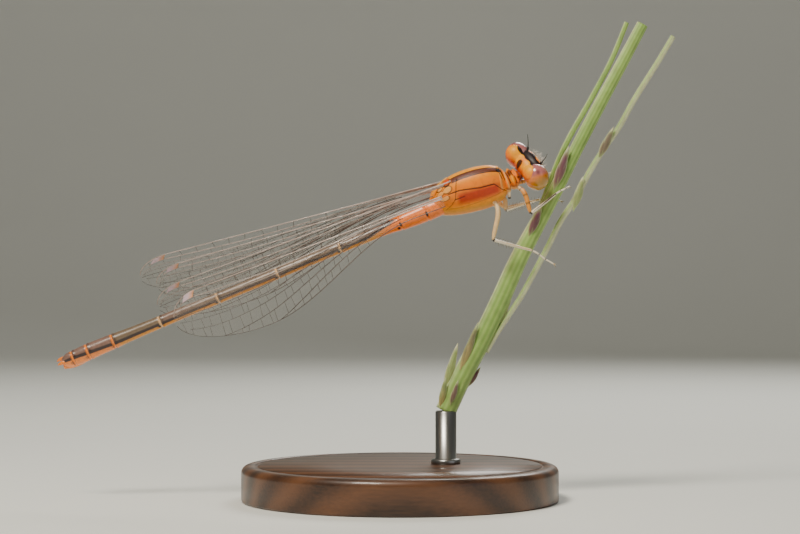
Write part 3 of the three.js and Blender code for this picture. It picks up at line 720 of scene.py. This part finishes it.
def abdomen_skin():
    """Rings along a gently bowed abdomen, painted by place and turn.

    The width flows through its stations. A bell curve raises a rim before each joint, another pinches the
    joint itself, and one more deepens the underside by the egg-laying valves.
    """
    shape = Shape()
    near_joints = [np.linspace(joint - 0.2, joint + 0.16, 16) for joint in JOINTS]
    x = np.unique(np.concatenate([np.linspace(-0.25, ABDOMEN_END, 420), *near_joints]))
    girth = flow(x, *ABDOMEN_WIDTHS.T) / 2
    after = x[:, None] - JOINTS[None]
    pinch = np.exp(-((after / 0.045) ** 2)).sum(1)
    rim = np.exp(-(((after + 0.12) / 0.07) ** 2)).sum(1)
    girth = girth + RIM_RISE * rim - PINCH_DEPTH * pinch
    deep = VALVE_BULGE * np.exp(-(((x - 22.2) / 0.75) ** 2))
    points, turn = barrel(-x, 0.92 * girth, girth, -girth - deep, 96)
    along = x[:, None] + 0 * turn
    side = np.abs(turn)
    bow = BOW_HEIGHT * np.sin(np.pi * np.clip(x / 19, 0, 1))
    points = points + bow[:, None, None] * unit(np.array([0, -1.0, 1.0]))
    plate = band(side - 84, 3.0, 3.0) * step(along, 2.6, 0.3)
    points = pushed(points, 0.012 * plate - 0.01 * band(side - 90, 2.5, 3.0) * step(along, 2.6, 0.3))
    reach = np.interp(along, [2.35, 2.6, 4.3, 19.8, 22.3], [0, 16, 76, 80, 62])
    back = step(reach - side, 0, 5) * step(along, 2.5, 0.15)
    nearest = np.abs(after).min(1)[:, None]
    signed = after[np.arange(len(x)), np.abs(after).argmin(1)][:, None]
    late = step(along, 19.6, 0.3)
    ring = band(signed - 0.02, 0.07, 0.03)
    before = band(signed + 0.16, 0.05, 0.05) * step(along, 3, 0.5)
    dots = band(np.hypot(signed - 0.13, (side - 88) / 140), 0.09, 0.04) * step(along, 2, 0.2)
    shoulder = band(np.hypot(signed + 0.02, (side - 62) / 260), 0.075, 0.04) * (1 - step(along, 2.7, 0.3))
    flank_band = band(side - reach + 12, 14, 9) * step(along, 2.6, 0.5)
    joint_line = band(nearest - 0.075, 0.012, 0.015) * step(along, 3, 1)
    shape.grid(
        placed(points, ABDOMEN),
        ochre=0.85 * step(along, 3.4, 1.2) * (1 - late),
        bronze=0.95 * back,
        olive=0.4 * back * band(along - 18.4, 1.5, 0.4) + 0.25 * back * band(along - 10, 5, 3),
        maroon=np.clip(0.97 * flank_band + 0.5 * before * back, 0, 1),
        ring=0.9 * ring * step(along, 3, 0.5) * (1 - late) + 0.3 * late * (1 - back),
        ember=0.9 * ring * late + 0.6 * late * (1 - back),
        dark=np.clip(dots * (1 - 0.6 * late) + shoulder + 0.8 * joint_line, 0, 1),
    )
    abdomen_ends(shape)
    nodes = [f"abdomen_{n:02d}" for n in range(1, 11)]
    return shape.piece("abdomen_skin", BRONZE, nodes)


# Legs

# Leg paths in the model's frame: the femur, then the tibia and foot
LEGS = {
    "front_right": (
        [[6.35, 0.1, 17.9], [6.86, -0.2, 17.65], [7.39, -0.6, 16.26]],
        [
            [7.39, -0.6, 16.26], [8.2, -0.35, 16.87], [8.99, -0.12, 17.48], [9.45, 0.1, 17.72],
            [9.62, 0.4, 17.8],
        ],
    ),
    "front_left": (
        [[6.1, 0.9, 17.7], [6.7, 1.5, 18.05], [7.35, 1.85, 18.2]],
        [[7.35, 1.85, 18.2], [7.9, 1.7, 18.4], [8.4, 1.45, 18.55], [8.68, 1.2, 18.65]],
    ),
    "middle_right": (
        [[5.4, 0.6, 17.5], [5.95, 0.25, 17.05], [6.0, 0.15, 16.45]],
        [[6.0, 0.15, 16.45], [6.9, 0.35, 16.75], [7.5, 0.4, 16.9], [7.75, 0.45, 17.0]],
    ),
    "middle_left": (
        [[5.0, 1.1, 17.2], [5.7, 1.4, 16.9], [6.0, 1.2, 16.62]],
        [[6.0, 1.2, 16.62], [7.2, 1.55, 16.9], [8.4, 1.78, 17.15], [9.0, 1.7, 17.1], [9.25, 1.35, 17.0]],
    ),
    "hind_right": (
        [[5.15, -0.1, 17.2], [5.46, -0.42, 16.75], [5.26, -0.75, 14.76]],
        [
            [5.26, -0.75, 14.76], [6.83, -0.3, 14.33], [7.68, -0.25, 14.07], [8.2, -0.15, 13.7],
            [8.7, 0.0, 13.42],
        ],
    ),
    "hind_left": (
        [[5.1, 1.0, 17.0], [5.55, 1.4, 16.7], [5.36, 1.7, 14.85]],
        [[5.3, 1.7, 14.85], [6.3, 1.75, 14.5], [7.1, 1.75, 14.3], [7.7, 1.5, 14.1]],
    ),
}
# The left front leg's short hip, cream with a dark tip
FRONT_LEFT_HIP = [[6.1, 0.2, 17.8], [6.2, 0.25, 17.42], [6.24, 0.3, 17.12]]
FEMUR_RADIUS, FEMUR_SWELL = 0.105, 0.03
# Shares of the tibia's path where the foot begins and where its joints are
FOOT = 0.62
FOOT_JOINTS = np.array([FOOT, 0.74, 0.86])


def eased(path, count):
    """Points spread evenly along a smooth curve through a path, and their shares of its length."""
    path = np.asarray(path, float)
    places = np.concatenate([[0], np.cumsum(np.linalg.norm(np.diff(path, axis=0), axis=1))])
    t = np.linspace(0, places[-1], count)
    return np.stack([flow(t, places, path[:, k]) for k in range(3)], -1), t / places[-1]


def leg_piece(name, femur, tibia):
    """A stout femur, a slim tibia and a jointed foot with two claws, each a round profile along its path."""
    shape = Shape()
    path, share = eased(femur, 60)
    radii = FEMUR_RADIUS + FEMUR_SWELL * (np.sin(np.pi * share) - step(share, 0.93, 0.08) * share)
    front = "front" in name
    knee = step(share, 0.965, 0.03)
    specks = 0.7 * front * band(share[:, None] - [0.3, 0.52, 0.74], 0.02, 0.02).sum(1)
    tan = 0.9 * step(share, 0.25, 0.4) if front else 0.2 * step(share, 0.35, 0.5)
    dark = np.clip(knee * (1 if front else 0.2) + specks, 0, 1)
    shape.tube(path, radii, 20, tan=tan, pale=0.3 * (1 - step(share, 0.3, 0.3)), dark=dark)
    path, share = eased(tibia, 120)
    radii = np.interp(share, [0, 0.04, FOOT - 0.03, FOOT, 1], [0.095, 0.088, 0.072, 0.055, 0.042])
    radii = radii - 0.014 * np.exp(-(((share[:, None] - FOOT_JOINTS) / 0.008) ** 2)).sum(1)
    joints = band(share, 0.02, 0.02) + band(share[:, None] - FOOT_JOINTS, 0.008, 0.01).sum(1)
    shape.tube(path, radii, 16, pale=0.95, dark=np.clip(joints, 0, 1))
    if name == "front_left":
        hip, hip_share = eased(FRONT_LEFT_HIP, 20)
        shape.tube(hip, np.linspace(0.13, 0.075, 20), 16, pale=0.9, dark=step(hip_share, 0.86, 0.1))
    # A thin strip sunk in the tibia's outer side makes a line, black on the right front leg, faint on the rest
    outer = np.array([0.1, -1.0, 0.25])
    strip = (share > 0.02) & (share < FOOT)
    line = 0.9 if name == "front_right" else 0.12
    shape.tube(path[strip] + unit(outer) * 0.055, 0.034, 8, dark=line, tan=0.15)
    # Two rows of stiff bristles
    tangent = unit(np.gradient(path, axis=0))
    k = (np.linspace(0.08, FOOT - 0.04, 9) * (len(path) - 1)).astype(int)
    for row in (1, -1):
        across = unit(np.cross(tangent[k], outer)) * row
        roots = path[k] + 0.05 * across
        tips = roots + 0.2 * across + 0.14 * tangent[k] - 0.04 * outer
        shape.strands(roots, tips, 0.01, 0.003, sides=4, dark=0.6)
    # Two curved claws
    for row in (1, -1):
        across = unit(np.cross(tangent[-1], outer)) * row
        claw = np.linspace(0, 1, 12)[:, None]
        bend = path[-1] + claw * (0.22 * tangent[-1] + 0.09 * across) - 0.1 * claw**2 * outer * [1, -1, 1]
        shape.tube(bend, np.linspace(0.035, 0.006, 12), 8, dark=0.7 * claw[:, 0])
    return shape.piece(f"leg_{name}", LEG, [f"{name}_femur", f"{name}_tibia"])


# Wings

# Wings: root and end as (x, z), depths along the wing, lean in degrees, chord
WINGS = {
    "wing_fore_left": ((2.75, 18.2), (-15.27, 13.5), (0.45, 1.0, 2.0, 2.1, 1.7), 45, 3.4),
    "wing_hind_left": ((2.1, 17.7), (-14.2, 13.0), (0.1, 0.3, 1.2, 0.95, 0.5), 45, 3.33),
    "wing_fore_right": ((2.85, 18.05), (-14.15, 11.8), (-1.0, -0.75, 0.0, 0.0, -0.1), 45, 3.4),
    "wing_hind_right": ((2.35, 17.2), (-13.1, 11.37), (-1.05, -1.1, -1.15, -1.2, -1.3), 0, 3.33),
}
# Shares of the length at which the depths stand
DEPTH_PLACES = np.array([0, 0.05, 0.3, 0.6, 1])
# Outline: three shares of the length, one of the chord, and the stalk's width in millimetres
STALK_END, WIDEST, TIP_START, TIP_HEIGHT, STALK_WIDTH = 0.17, 0.7, 0.9, 0.4, 0.6
# Shares of the length: the nodus, where the second long vein meets the front edge, and the stigma's ends
NODUS = 0.39
STIGMA_SPAN = (0.908, 0.948)
HALF_FILM, HALF_STIGMA = 0.009, 0.028
# Half waves of the pleats from edge to edge, and their height
PLEATS, PLEAT_HEIGHT = 7.0, 0.05
# A gap between long veins that is wider than the second is split into cells no wider than the first
CELL_WIDTH, WIDE_GAP = 0.5, 0.75


def eased_step(t):
    """From none to one: three times the square less twice the cube."""
    t = np.clip(t, 0, 1)
    return t * t * (3 - 2 * t)


def round_off(t):
    """From one to none along a quarter circle."""
    return np.sqrt(1 - np.clip(t, 0, 1) ** 2)


class Wing:
    """One wing's surface: a place from the share of its length and the share of its width at that length."""

    def __init__(self, root, end, depths, lean, chord):
        self.root = np.array([root[0], 0, root[1]], float)
        self.along = np.array([end[0] - root[0], 0, end[1] - root[1]], float)
        self.depths, self.chord = np.array(depths, float), chord
        down = unit(np.array([self.along[2], 0, -self.along[0]]) * np.sign(self.along[0]))
        lean = math.radians(lean)
        self.lie = down * math.cos(lean) + np.array([0, math.sin(lean), 0])
        self.face = unit(np.cross(self.lie, self.along))

    def front(self, s):
        """The front edge: straight, then a quarter ellipse back to the tip."""
        return TIP_HEIGHT * self.chord * (1 - round_off((s - TIP_START) / (1 - TIP_START)))

    def rear(self, s):
        """The rear edge: the stalk's width, eased out to the chord, then a quarter ellipse in to the tip."""
        widening = eased_step((s - STALK_END + 0.05) / (WIDEST - STALK_END + 0.05))
        blade = STALK_WIDTH + (self.chord - STALK_WIDTH) * widening
        tip = self.chord * (TIP_HEIGHT + (1 - TIP_HEIGHT) * round_off((s - WIDEST) / (1 - WIDEST)))
        return np.where(s > WIDEST, tip, blade)

    def width(self, s):
        """From the front edge to the rear one."""
        return self.rear(s) - self.front(s)

    def at(self, s, q, height=0.0):
        """The place at share s of the length and share q of the width, raised by a height off the film."""
        s, q = np.broadcast_arrays(np.asarray(s, float), np.asarray(q, float))
        k = np.clip(np.searchsorted(DEPTH_PLACES, s, side="right") - 1, 0, len(DEPTH_PLACES) - 2)
        t = eased_step((s - DEPTH_PLACES[k]) / (DEPTH_PLACES[k + 1] - DEPTH_PLACES[k]))
        depth = self.depths[k] * (1 - t) + self.depths[k + 1] * t
        across = self.front(s) + q * self.width(s)
        pleat = PLEAT_HEIGHT * np.sin(PLEATS * np.pi * q) * eased_step(s / 0.2) * (1 - 0.6 * s)
        place = self.root + s[..., None] * self.along + across[..., None] * self.lie
        place = place + (height + pleat)[..., None] * self.face
        place[..., 1] += depth
        return place


# Long veins: (start along, start across, end along, end across, bend, radius)
LONG_VEINS = [
    (0.0, 0.0, 0.999, 0.0, 1.0, 0.042),
    (0.0, 0.14, NODUS, 0.0, 3.0, 0.026),
    (0.0, 0.26, 0.965, 0.12, 0.45, 0.036),
    (0.31, 0.235, 0.985, 0.235, 1.0, 0.026),
    (0.60, 0.27, 0.992, 0.36, 1.0, 0.018),
    (0.42, 0.25, 0.995, 0.48, 1.1, 0.024),
    (0.36, 0.31, 0.985, 0.64, 1.0, 0.022),
    (0.26, 0.34, 0.96, 0.84, 1.15, 0.024),
    (0.17, 0.42, 0.86, 1.0, 1.35, 0.026),
    (0.15, 0.62, 0.66, 1.0, 1.6, 0.026),
    (0.0, 1.0, 0.999, 1.0, 1.0, 0.026),
]


def vein_at(vein, s):
    """How far across the wing a long vein lies at share s, and nothing where it doesn't run."""
    start, from_q, end, to_q, bend, _ = vein
    t = np.clip((s - start) / (end - start), 0, 1)
    q = from_q + (to_q - from_q) * t**bend
    return np.where((s >= start) & (s <= end), q, np.nan)


def to_tip(even, close, reach):
    """Shares of the length: evenly spaced up to the tip's start, then ever closer as a sine levels off."""
    last = TIP_START + reach * np.sin(np.linspace(0.05, np.pi / 2, close))
    return np.concatenate([np.linspace(0, TIP_START, even), last])


def film_piece(name, wing):
    """The film as a closed sheet: the wing's surface raised by half its thickness, and lowered by as much."""
    shape = Shape()
    s = to_tip(110, 30, 0.0995)[:, None]
    q = np.linspace(0, 1, 42)[None]
    upper = wing.at(s, q, HALF_FILM)
    lower = wing.at(s, q, -HALF_FILM)[:, ::-1]
    shape.grid(np.concatenate([upper, lower], axis=1))
    shape.piece(f"{name}_film", FILM, [name])


def long_veins(shape, wing):
    """Tubes along the wing's surface, thinner towards the tip, pale with a painted highlight by the root and
    at the nodus.
    """
    for index, vein in enumerate(LONG_VEINS):
        along_edge = index in (0, len(LONG_VEINS) - 1)
        run = to_tip(90, 40, 0.0998) if along_edge else np.linspace(vein[0], vein[2], 110)
        path = wing.at(run, vein_at(vein, run))
        radii = vein[5] * (1 - 0.45 * run)
        # Pale cuticle with a painted highlight on the front veins, fading towards the tip, and a painted
        # highlight at the nodus
        bright = 0.55 * (1 - 0.5 * run) * (index < 4) + 0.4 * band(run - NODUS, 0.012, 0.01) * (index < 3)
        dark = np.clip(0.15 + 0.4 * run * (index not in (0, 2)) + 0.5 * (index > 4), 0, 1)
        shape.tube(path, radii, 6, bright=bright, dark=dark)


def cross_ties():
    """Cross-veins as (place along, first long vein, next one, radius), those of the net shifted at random."""
    ties = []
    for station, reach in ((NODUS, 4), (0.2, 3), (0.29, 3)):
        ties += [(station, k, k + 1, 0.02) for k in range(reach)]
    for s0 in np.arange(NODUS + 0.052, 0.97, 0.052):
        ties.append((s0, 0, 2, 0.015))
    for k in range(2, len(LONG_VEINS) - 1):
        spacing = 0.046 if k < 5 else 0.034
        for s0 in np.arange(0.2 + 0.011 * k, 0.985, spacing):
            ties.append((s0 + rng.uniform(-0.009, 0.009), k, k + 1, 0.011))
    return ties


def cross_veins(shape, wing):
    """Short rods from each tie's long vein to the next that runs there.

    A wide gap is split into equal cells, whose ends are then shifted at random. The rods of
    neighbouring cells stand a little to either side, and a short slanting rod joins them.
    """
    roots, tips, radii = [], [], []
    for s0, first, second, radius in cross_ties():
        here = {k: float(vein_at(vein, np.array(s0))) for k, vein in enumerate(LONG_VEINS)}
        later = [q for k, q in here.items() if k >= second and not math.isnan(q)]
        if math.isnan(here[first]) or not later:
            continue
        start_q, end_q = here[first], min(later)
        span = (end_q - start_q) * float(wing.width(np.array(s0)))
        if span < 0.05:
            continue
        cells = 1 if span < WIDE_GAP or first < 2 else int(np.ceil(span / CELL_WIDTH))
        lean = rng.uniform(-0.005, 0.005)
        qs = np.linspace(start_q, end_q, cells + 1)
        qs[1:-1] += rng.uniform(-0.22, 0.22, cells - 1) * (end_q - start_q) / cells
        for part in range(cells):
            jog = 0.008 * (1 if part % 2 else -1) * (cells > 1)
            roots.append((s0 + jog, qs[part]))
            tips.append((s0 + jog + lean, qs[part + 1]))
            radii.append(radius)
            if cells > 1 and part + 1 < cells:
                roots.append((s0 - 0.017, qs[part + 1] + 0.012))
                tips.append((s0 + 0.017, qs[part + 1] - 0.012))
                radii.append(radius)
    roots, tips = np.array(roots), np.array(tips)
    limit = np.minimum(tips[:, 0], 0.993)
    starts, ends = wing.at(roots[:, 0], roots[:, 1]), wing.at(limit, tips[:, 1])
    shape.strands(starts, ends, np.array(radii), np.array(radii), dark=0.85)


def vein_piece(name, wing):
    """The wing's net of long veins and cross-veins."""
    shape = Shape()
    long_veins(shape, wing)
    cross_veins(shape, wing)
    shape.piece(f"{name}_veins", VEIN)


def stigma_piece(name, wing):
    """A slanted cell between the front edge and the third long vein, thicker than the film."""
    shape = Shape()
    span = np.linspace(*STIGMA_SPAN, 16)[:, None]
    share = np.linspace(0.02, 1, 10)[None]
    edge = vein_at(LONG_VEINS[2], span)
    slant = 0.012 * (share - 0.5)
    upper = wing.at(span + slant, share * edge, HALF_STIGMA)
    lower = wing.at(span + slant, share * edge, -HALF_STIGMA)[:, ::-1]
    warm = step(-span, -STIGMA_SPAN[0] - 0.012, 0.02)
    shape.grid(np.concatenate([upper, lower], axis=1), ember=warm)
    shape.piece(f"{name}_stigma", STIGMA)


# Grass

# Paths of the stalks' axes as (x, z), all at one depth
STEM_DEPTH = 0.85
STEM_PATH = [
    [2.6, 5.0], [3.43, 6.77], [4.63, 9.06], [5.72, 11.34], [6.75, 13.63],
    [8.5, 16.9], [10.25, 20.3], [11.55, 22.78], [12.85, 25.2], [13.85, 27.1],
]
SIDE_SHOOT = [[7.9, 16.4], [9.45, 20.2], [10.95, 22.9], [12.1, 25.1], [12.95, 27.2]]
FREE_SHOOT = [
    [4.92, 8.37], [5.55, 9.46], [6.3, 10.6], [6.83, 11.4], [7.53, 12.66], [8.5, 14.49], [9.15, 15.8],
    [10.0, 17.1], [10.86, 18.72], [11.61, 19.92], [12.41, 21.06], [13.38, 22.78], [14.81, 25.07],
    [15.6, 26.4],
]
# Florets as foot, tip, half width, and paint: purple, yellow, cream
# Each end is x, distance in front of the axis, z
STEM_FLORETS = [
    ((8.75, 0.3, 17.52), (9.61, 0.5, 20.09), 0.22, (1.0, 0.1, 0.7)),
    ((7.32, 0.35, 14.89), (8.06, 0.55, 16.72), 0.2, (1.0, 0.1, 0.4)),
    ((5.45, 0, 9.6), (6.4, 0, 11.57), 0.13, (0.3, 0.3, 1.0)),
    ((3.37, 0.35, 7.11), (4.46, 0.5, 10.09), 0.18, (0.7, 0.9, 0.5)),
    ((2.5, 0.1, 6.1), (3.3, 0.2, 8.88), 0.19, (0.25, 0.2, 1.0)),
    ((3.83, 0, 6.31), (4.6, -0.1, 7.5), 0.12, (1.0, 0.2, 0.3)),
    ((2.3, 0.3, 5.1), (2.6, 0.5, 6.95), 0.16, (0.4, 0.9, 0.6)),
    ((2.85, 0.5, 5.3), (3.32, 0.6, 6.8), 0.13, (0.9, 0.1, 0.6)),
]
FREE_FLORETS = [
    ((9.9, 0.1, 16.4), (10.46, 0.3, 18.4), 0.2, (0.35, 0.0, 0.9)),
    ((11.32, 0.1, 19.35), (12.18, 0.3, 21.2), 0.19, (0.8, 0.0, 0.7)),
]
# A husk's scales: lean to the side, start and length as shares of the husk's, and size
HUSK_SCALES = ((-0.45, 0.0, 0.8, 0.8), (0.45, 0.06, 0.82, 0.8), (0.0, 0.1, 0.9, 1.0))
# How much a rib stands out, as a share of the stalk's radius
RIB_RISE = 0.014


def in_stem(path):
    """A path of (x, z), set at the stem's depth."""
    return [[x, STEM_DEPTH, z] for x, z in path]


def stalk(shape, path, radii, ribs, flat=0.8, count=160, bleach=0.0):
    """A ribbed stalk: rings whose radius rises and falls as a cosine of the turn.

    Its ribs are a little lighter, its furrows a little darker, and its two edges painted pale as a sheen, the
    left one most.
    """
    centre, share = eased(in_stem(path), count)
    along = unit(np.gradient(centre, axis=0))
    across = unit(np.cross([0, 1.0, 0], along))
    angle = np.linspace(0, 2 * np.pi, 12 * ribs, endpoint=False)[None]
    radius = np.interp(share, np.linspace(0, 1, len(radii)), radii)[:, None]
    wave = np.cos(ribs * angle)
    size = radius * (1 + RIB_RISE * wave)
    points = centre[:, None] + (size * np.cos(angle))[..., None] * across[:, None]
    points = points + (size * flat * np.sin(angle))[..., None] * np.array([0, 1.0, 0])
    # Painted sheen: pale at the two edges that face left and right across the view, the left one most
    edge = np.clip(-np.cos(angle), 0, 1) ** 5 + 0.4 * np.clip(np.cos(angle), 0, 1) ** 9
    shape.grid(
        points,
        light=0.3 * step(wave, 0.3, 0.8) + 0 * radius,
        shade=0.3 * step(-wave, 0.5, 0.6) + 0.25 * np.sin(7 * share)[:, None] ** 2,
        pale=0.85 * edge + 0 * radius,
        cream=bleach * step(np.cos(angle), -0.2, 1.2) + 0 * radius,
    )


def floret(shape, foot, tip, width, hues):
    """A slim husk of three overlapping scales: spindles as wide as a half sine's power, keeled in front."""
    purple, yellow, cream = hues
    start, end = (np.array([x, STEM_DEPTH - front, z]) for x, front, z in (foot, tip))
    length = np.linalg.norm(end - start)
    along = (end - start) / length
    out = unit(np.array([0, -1.0, 0]) + along[1] * along)
    flank = np.cross(along, out)
    t = np.linspace(0, 1, 40)[:, None]
    a = np.linspace(0, 2 * np.pi, 28, endpoint=False)[None]
    for lean, begin, reach, grow in HUSK_SCALES:
        half = width * grow * np.sin(np.pi * np.clip(t, 0.012, 0.988)) ** 0.75
        keel = 1 + 0.12 * np.exp(-((a - math.pi / 2) ** 2) / 0.02)
        side = half * np.cos(a) + lean * width * np.sin(np.pi * 0.9 * t)
        front = 0.8 * half * np.sin(a) * keel
        points = start + ((begin + reach * t) * length)[..., None] * along
        points = points + side[..., None] * flank + front[..., None] * out
        edge = np.abs(np.cos(a)) ** 4
        shape.grid(
            points,
            purple=purple * band(t - 0.5, 0.38, 0.3) * (1 - 0.8 * edge),
            straw=yellow * (1 - step(t, 0.45, 0.4)) * (1 - 0.5 * edge),
            cream=cream * np.clip(0.75 * edge + 0.5 * step(t, 0.86, 0.1) + 0.08, 0, 1) + 0 * t,
            light=0.5 * (1 - step(t, 0.3, 0.3)) + 0 * a,
        )


def grass_pieces():
    """The stem with its side shoot and florets, and the free shoot with its own."""
    stem = Shape()
    stalk(stem, STEM_PATH, [0.6, 0.58, 0.56, 0.54, 0.49, 0.43, 0.38, 0.37, 0.35, 0.33], 11)
    stalk(stem, SIDE_SHOOT, [0.12, 0.16, 0.16, 0.15, 0.14], 5, flat=1.0, count=120)
    for numbers in STEM_FLORETS:
        floret(stem, *numbers)
    stem.piece("perch_stem", GRASS, ["perch_stem"])
    shoot = Shape()
    stalk(shoot, FREE_SHOOT, [0.15, 0.16, 0.17, 0.17, 0.16, 0.16, 0.15], 6, flat=1.0, bleach=0.6)
    for numbers in FREE_FLORETS:
        floret(shoot, *numbers)
    shoot.piece("perch_shoot", GRASS, ["perch_shoot"])


# Stand

BASE_RADIUS, BASE_HEIGHT, EDGE_RADIUS = 9.0, 2.0, 0.4
GROOVE_RADIUS, GROOVE_HALF, GROOVE_DEPTH = 8.1, 0.09, 0.07
ROD_PLACE, ROD_RADIUS = (2.62, STEM_DEPTH), 0.6
COLLAR_WIDTH, COLLAR_HEIGHT = 0.25, 0.3


def turned(profile, centre, columns):
    """A profile of (radius, height) spun about an upright axis."""
    profile = np.asarray(profile, float)
    angle = np.linspace(0, 2 * np.pi, columns, endpoint=False)[None]
    radius = profile[:, :1]
    return np.stack([
        centre[0] + radius * np.cos(angle),
        centre[1] + radius * np.sin(angle),
        profile[:, 1:] + 0 * angle,
    ], -1)


def stand_pieces():
    """A turned disc with a rounded upper edge and a shallow groove, and a rod in a low collar."""
    arc = np.linspace(0, np.pi / 2, 12)
    inner, under = BASE_RADIUS - EDGE_RADIUS, BASE_HEIGHT - EDGE_RADIUS
    edge = [(inner + EDGE_RADIUS * np.cos(a), under + EDGE_RADIUS * np.sin(a)) for a in arc]
    half_turn = np.linspace(0, np.pi, 9)
    groove = [
        (GROOVE_RADIUS + GROOVE_HALF * np.cos(a), BASE_HEIGHT - GROOVE_DEPTH * np.sin(a)) for a in half_turn
    ]
    foot = [(0.05, 0), (BASE_RADIUS - 0.15, 0), (BASE_RADIUS - 0.03, 0.04), (BASE_RADIUS, 0.15)]
    shape = Shape()
    shape.grid(turned(foot + edge + groove + [(4, BASE_HEIGHT), (0.05, BASE_HEIGHT)], (0, 0), 160))
    shape.piece("stand_base", wood_finish(), ["stand_base"])
    r, collar = ROD_RADIUS, ROD_RADIUS + COLLAR_WIDTH
    sunk, rim, top = BASE_HEIGHT - 0.1, BASE_HEIGHT + COLLAR_HEIGHT, STEM_PATH[0][1] + 0.02
    profile = [
        (0.02, sunk), (collar, sunk), (collar, rim - 0.1), (collar - 0.05, rim - 0.02), (r, rim),
        (r, top - 0.06), (r - 0.06, top), (0.02, top),
    ]
    rod = Shape()
    rod.grid(turned(profile, ROD_PLACE, 64))
    rod.piece("stand_rod", steel_finish(), ["stand_rod"])


# Put the animal together

skin = Shape()
thorax_skin(skin)
prothorax_skin(skin)
head_skin(skin)
ocelli(skin)
skin.piece("body_skin", ORANGE, ["thorax", "prothorax", "head"])
abdomen_skin()
eye_piece("eye_left", 1)
eye_piece("eye_right", -1)
hairs = Shape()
face_hairs(hairs)
hairs.piece("face_hairs", HAIR)
for hand, (side, tip) in FEELERS.items():
    feeler_piece(f"antenna_{hand}", side, tip)
for leg, (femur, tibia) in LEGS.items():
    leg_piece(leg, femur, tibia)
for wing_name, numbers in WINGS.items():
    wing = Wing(*numbers)
    film_piece(wing_name, wing)
    vein_piece(wing_name, wing)
    stigma_piece(wing_name, wing)
grass_pieces()
stand_pieces()


# Studio


def floor_piece():
    """A pale sweep: a flat floor that curves up into a wall behind."""
    near, far, bend, high = -260.0, 200.0, 90.0, 420.0
    arc = np.linspace(-np.pi / 2, 0, 24)
    y = np.concatenate([[near], far + bend * np.cos(arc), [far + bend]])
    z = np.concatenate([[0], bend + bend * np.sin(arc), [high]])
    x = np.array([-600.0, 600.0])
    points = np.stack(np.broadcast_arrays(x[None], y[:, None], z[:, None]), -1).reshape(-1, 3) * MM
    index = np.arange(len(points)).reshape(-1, 2)
    faces = np.stack([index[:-1, 0], index[:-1, 1], index[1:, 1], index[1:, 0]], -1)
    mesh = bpy.data.meshes.new("studio_floor")
    mesh.from_pydata(points.tolist(), [], faces.tolist())
    mesh.polygons.foreach_set("use_smooth", np.ones(len(faces), bool))
    # Matt paper, with no gloss and hardly any pattern
    paper = painted("matt_paper_sweep", "#ECEEE9", mottle=0.01, grain=30, roughness=0.9, relief=0.01)
    mesh.materials.append(paper)
    floor = bpy.data.objects.new("studio_floor", mesh)
    bpy.context.scene.collection.objects.link(floor)


def lamp(name, place, size, power, tint="#FFFFFF"):
    """A soft square lamp that faces the thorax."""
    light = bpy.data.lights.new(name, "AREA")
    light.size, light.energy, light.color = size * MM, power, colour(tint)[:3]
    obj = bpy.data.objects.new(name, light)
    here = np.array(place, float)
    aim = unit(np.array([0, 0, 16.0]) - here)
    obj.location = here * MM
    obj.rotation_euler = Vector(aim).to_track_quat("-Z", "Y").to_euler()
    bpy.context.scene.collection.objects.link(obj)


floor_piece()
lamp("key", (-50, -80, 140), 45, 0.28, "#FFF6E6")
lamp("fill", (150, -130, 40), 140, 0.035, "#F4F6FF")
lamp("back", (40, 120, 110), 70, 0.12, "#FFFDF6")
world = bpy.data.worlds.new("studio")
world.use_nodes = True
world.node_tree.nodes["Background"].inputs["Color"].default_value = colour("#E6E6DE")
world.node_tree.nodes["Background"].inputs["Strength"].default_value = 0.13
bpy.context.scene.world = world

lens = bpy.data.cameras.new("camera")
lens.lens, lens.sensor_width = LENS, SENSOR
lens.clip_start, lens.clip_end = 0.005, 5.0
camera = bpy.data.objects.new("camera", lens)
distance = PHOTO_WIDTH * LENS / SENSOR
camera.location = (VIEW_CENTRE[0] * MM, -distance * MM, VIEW_CENTRE[1] * MM)
camera.rotation_euler = (math.pi / 2, 0, 0)
bpy.context.scene.collection.objects.link(camera)
bpy.context.scene.camera = camera
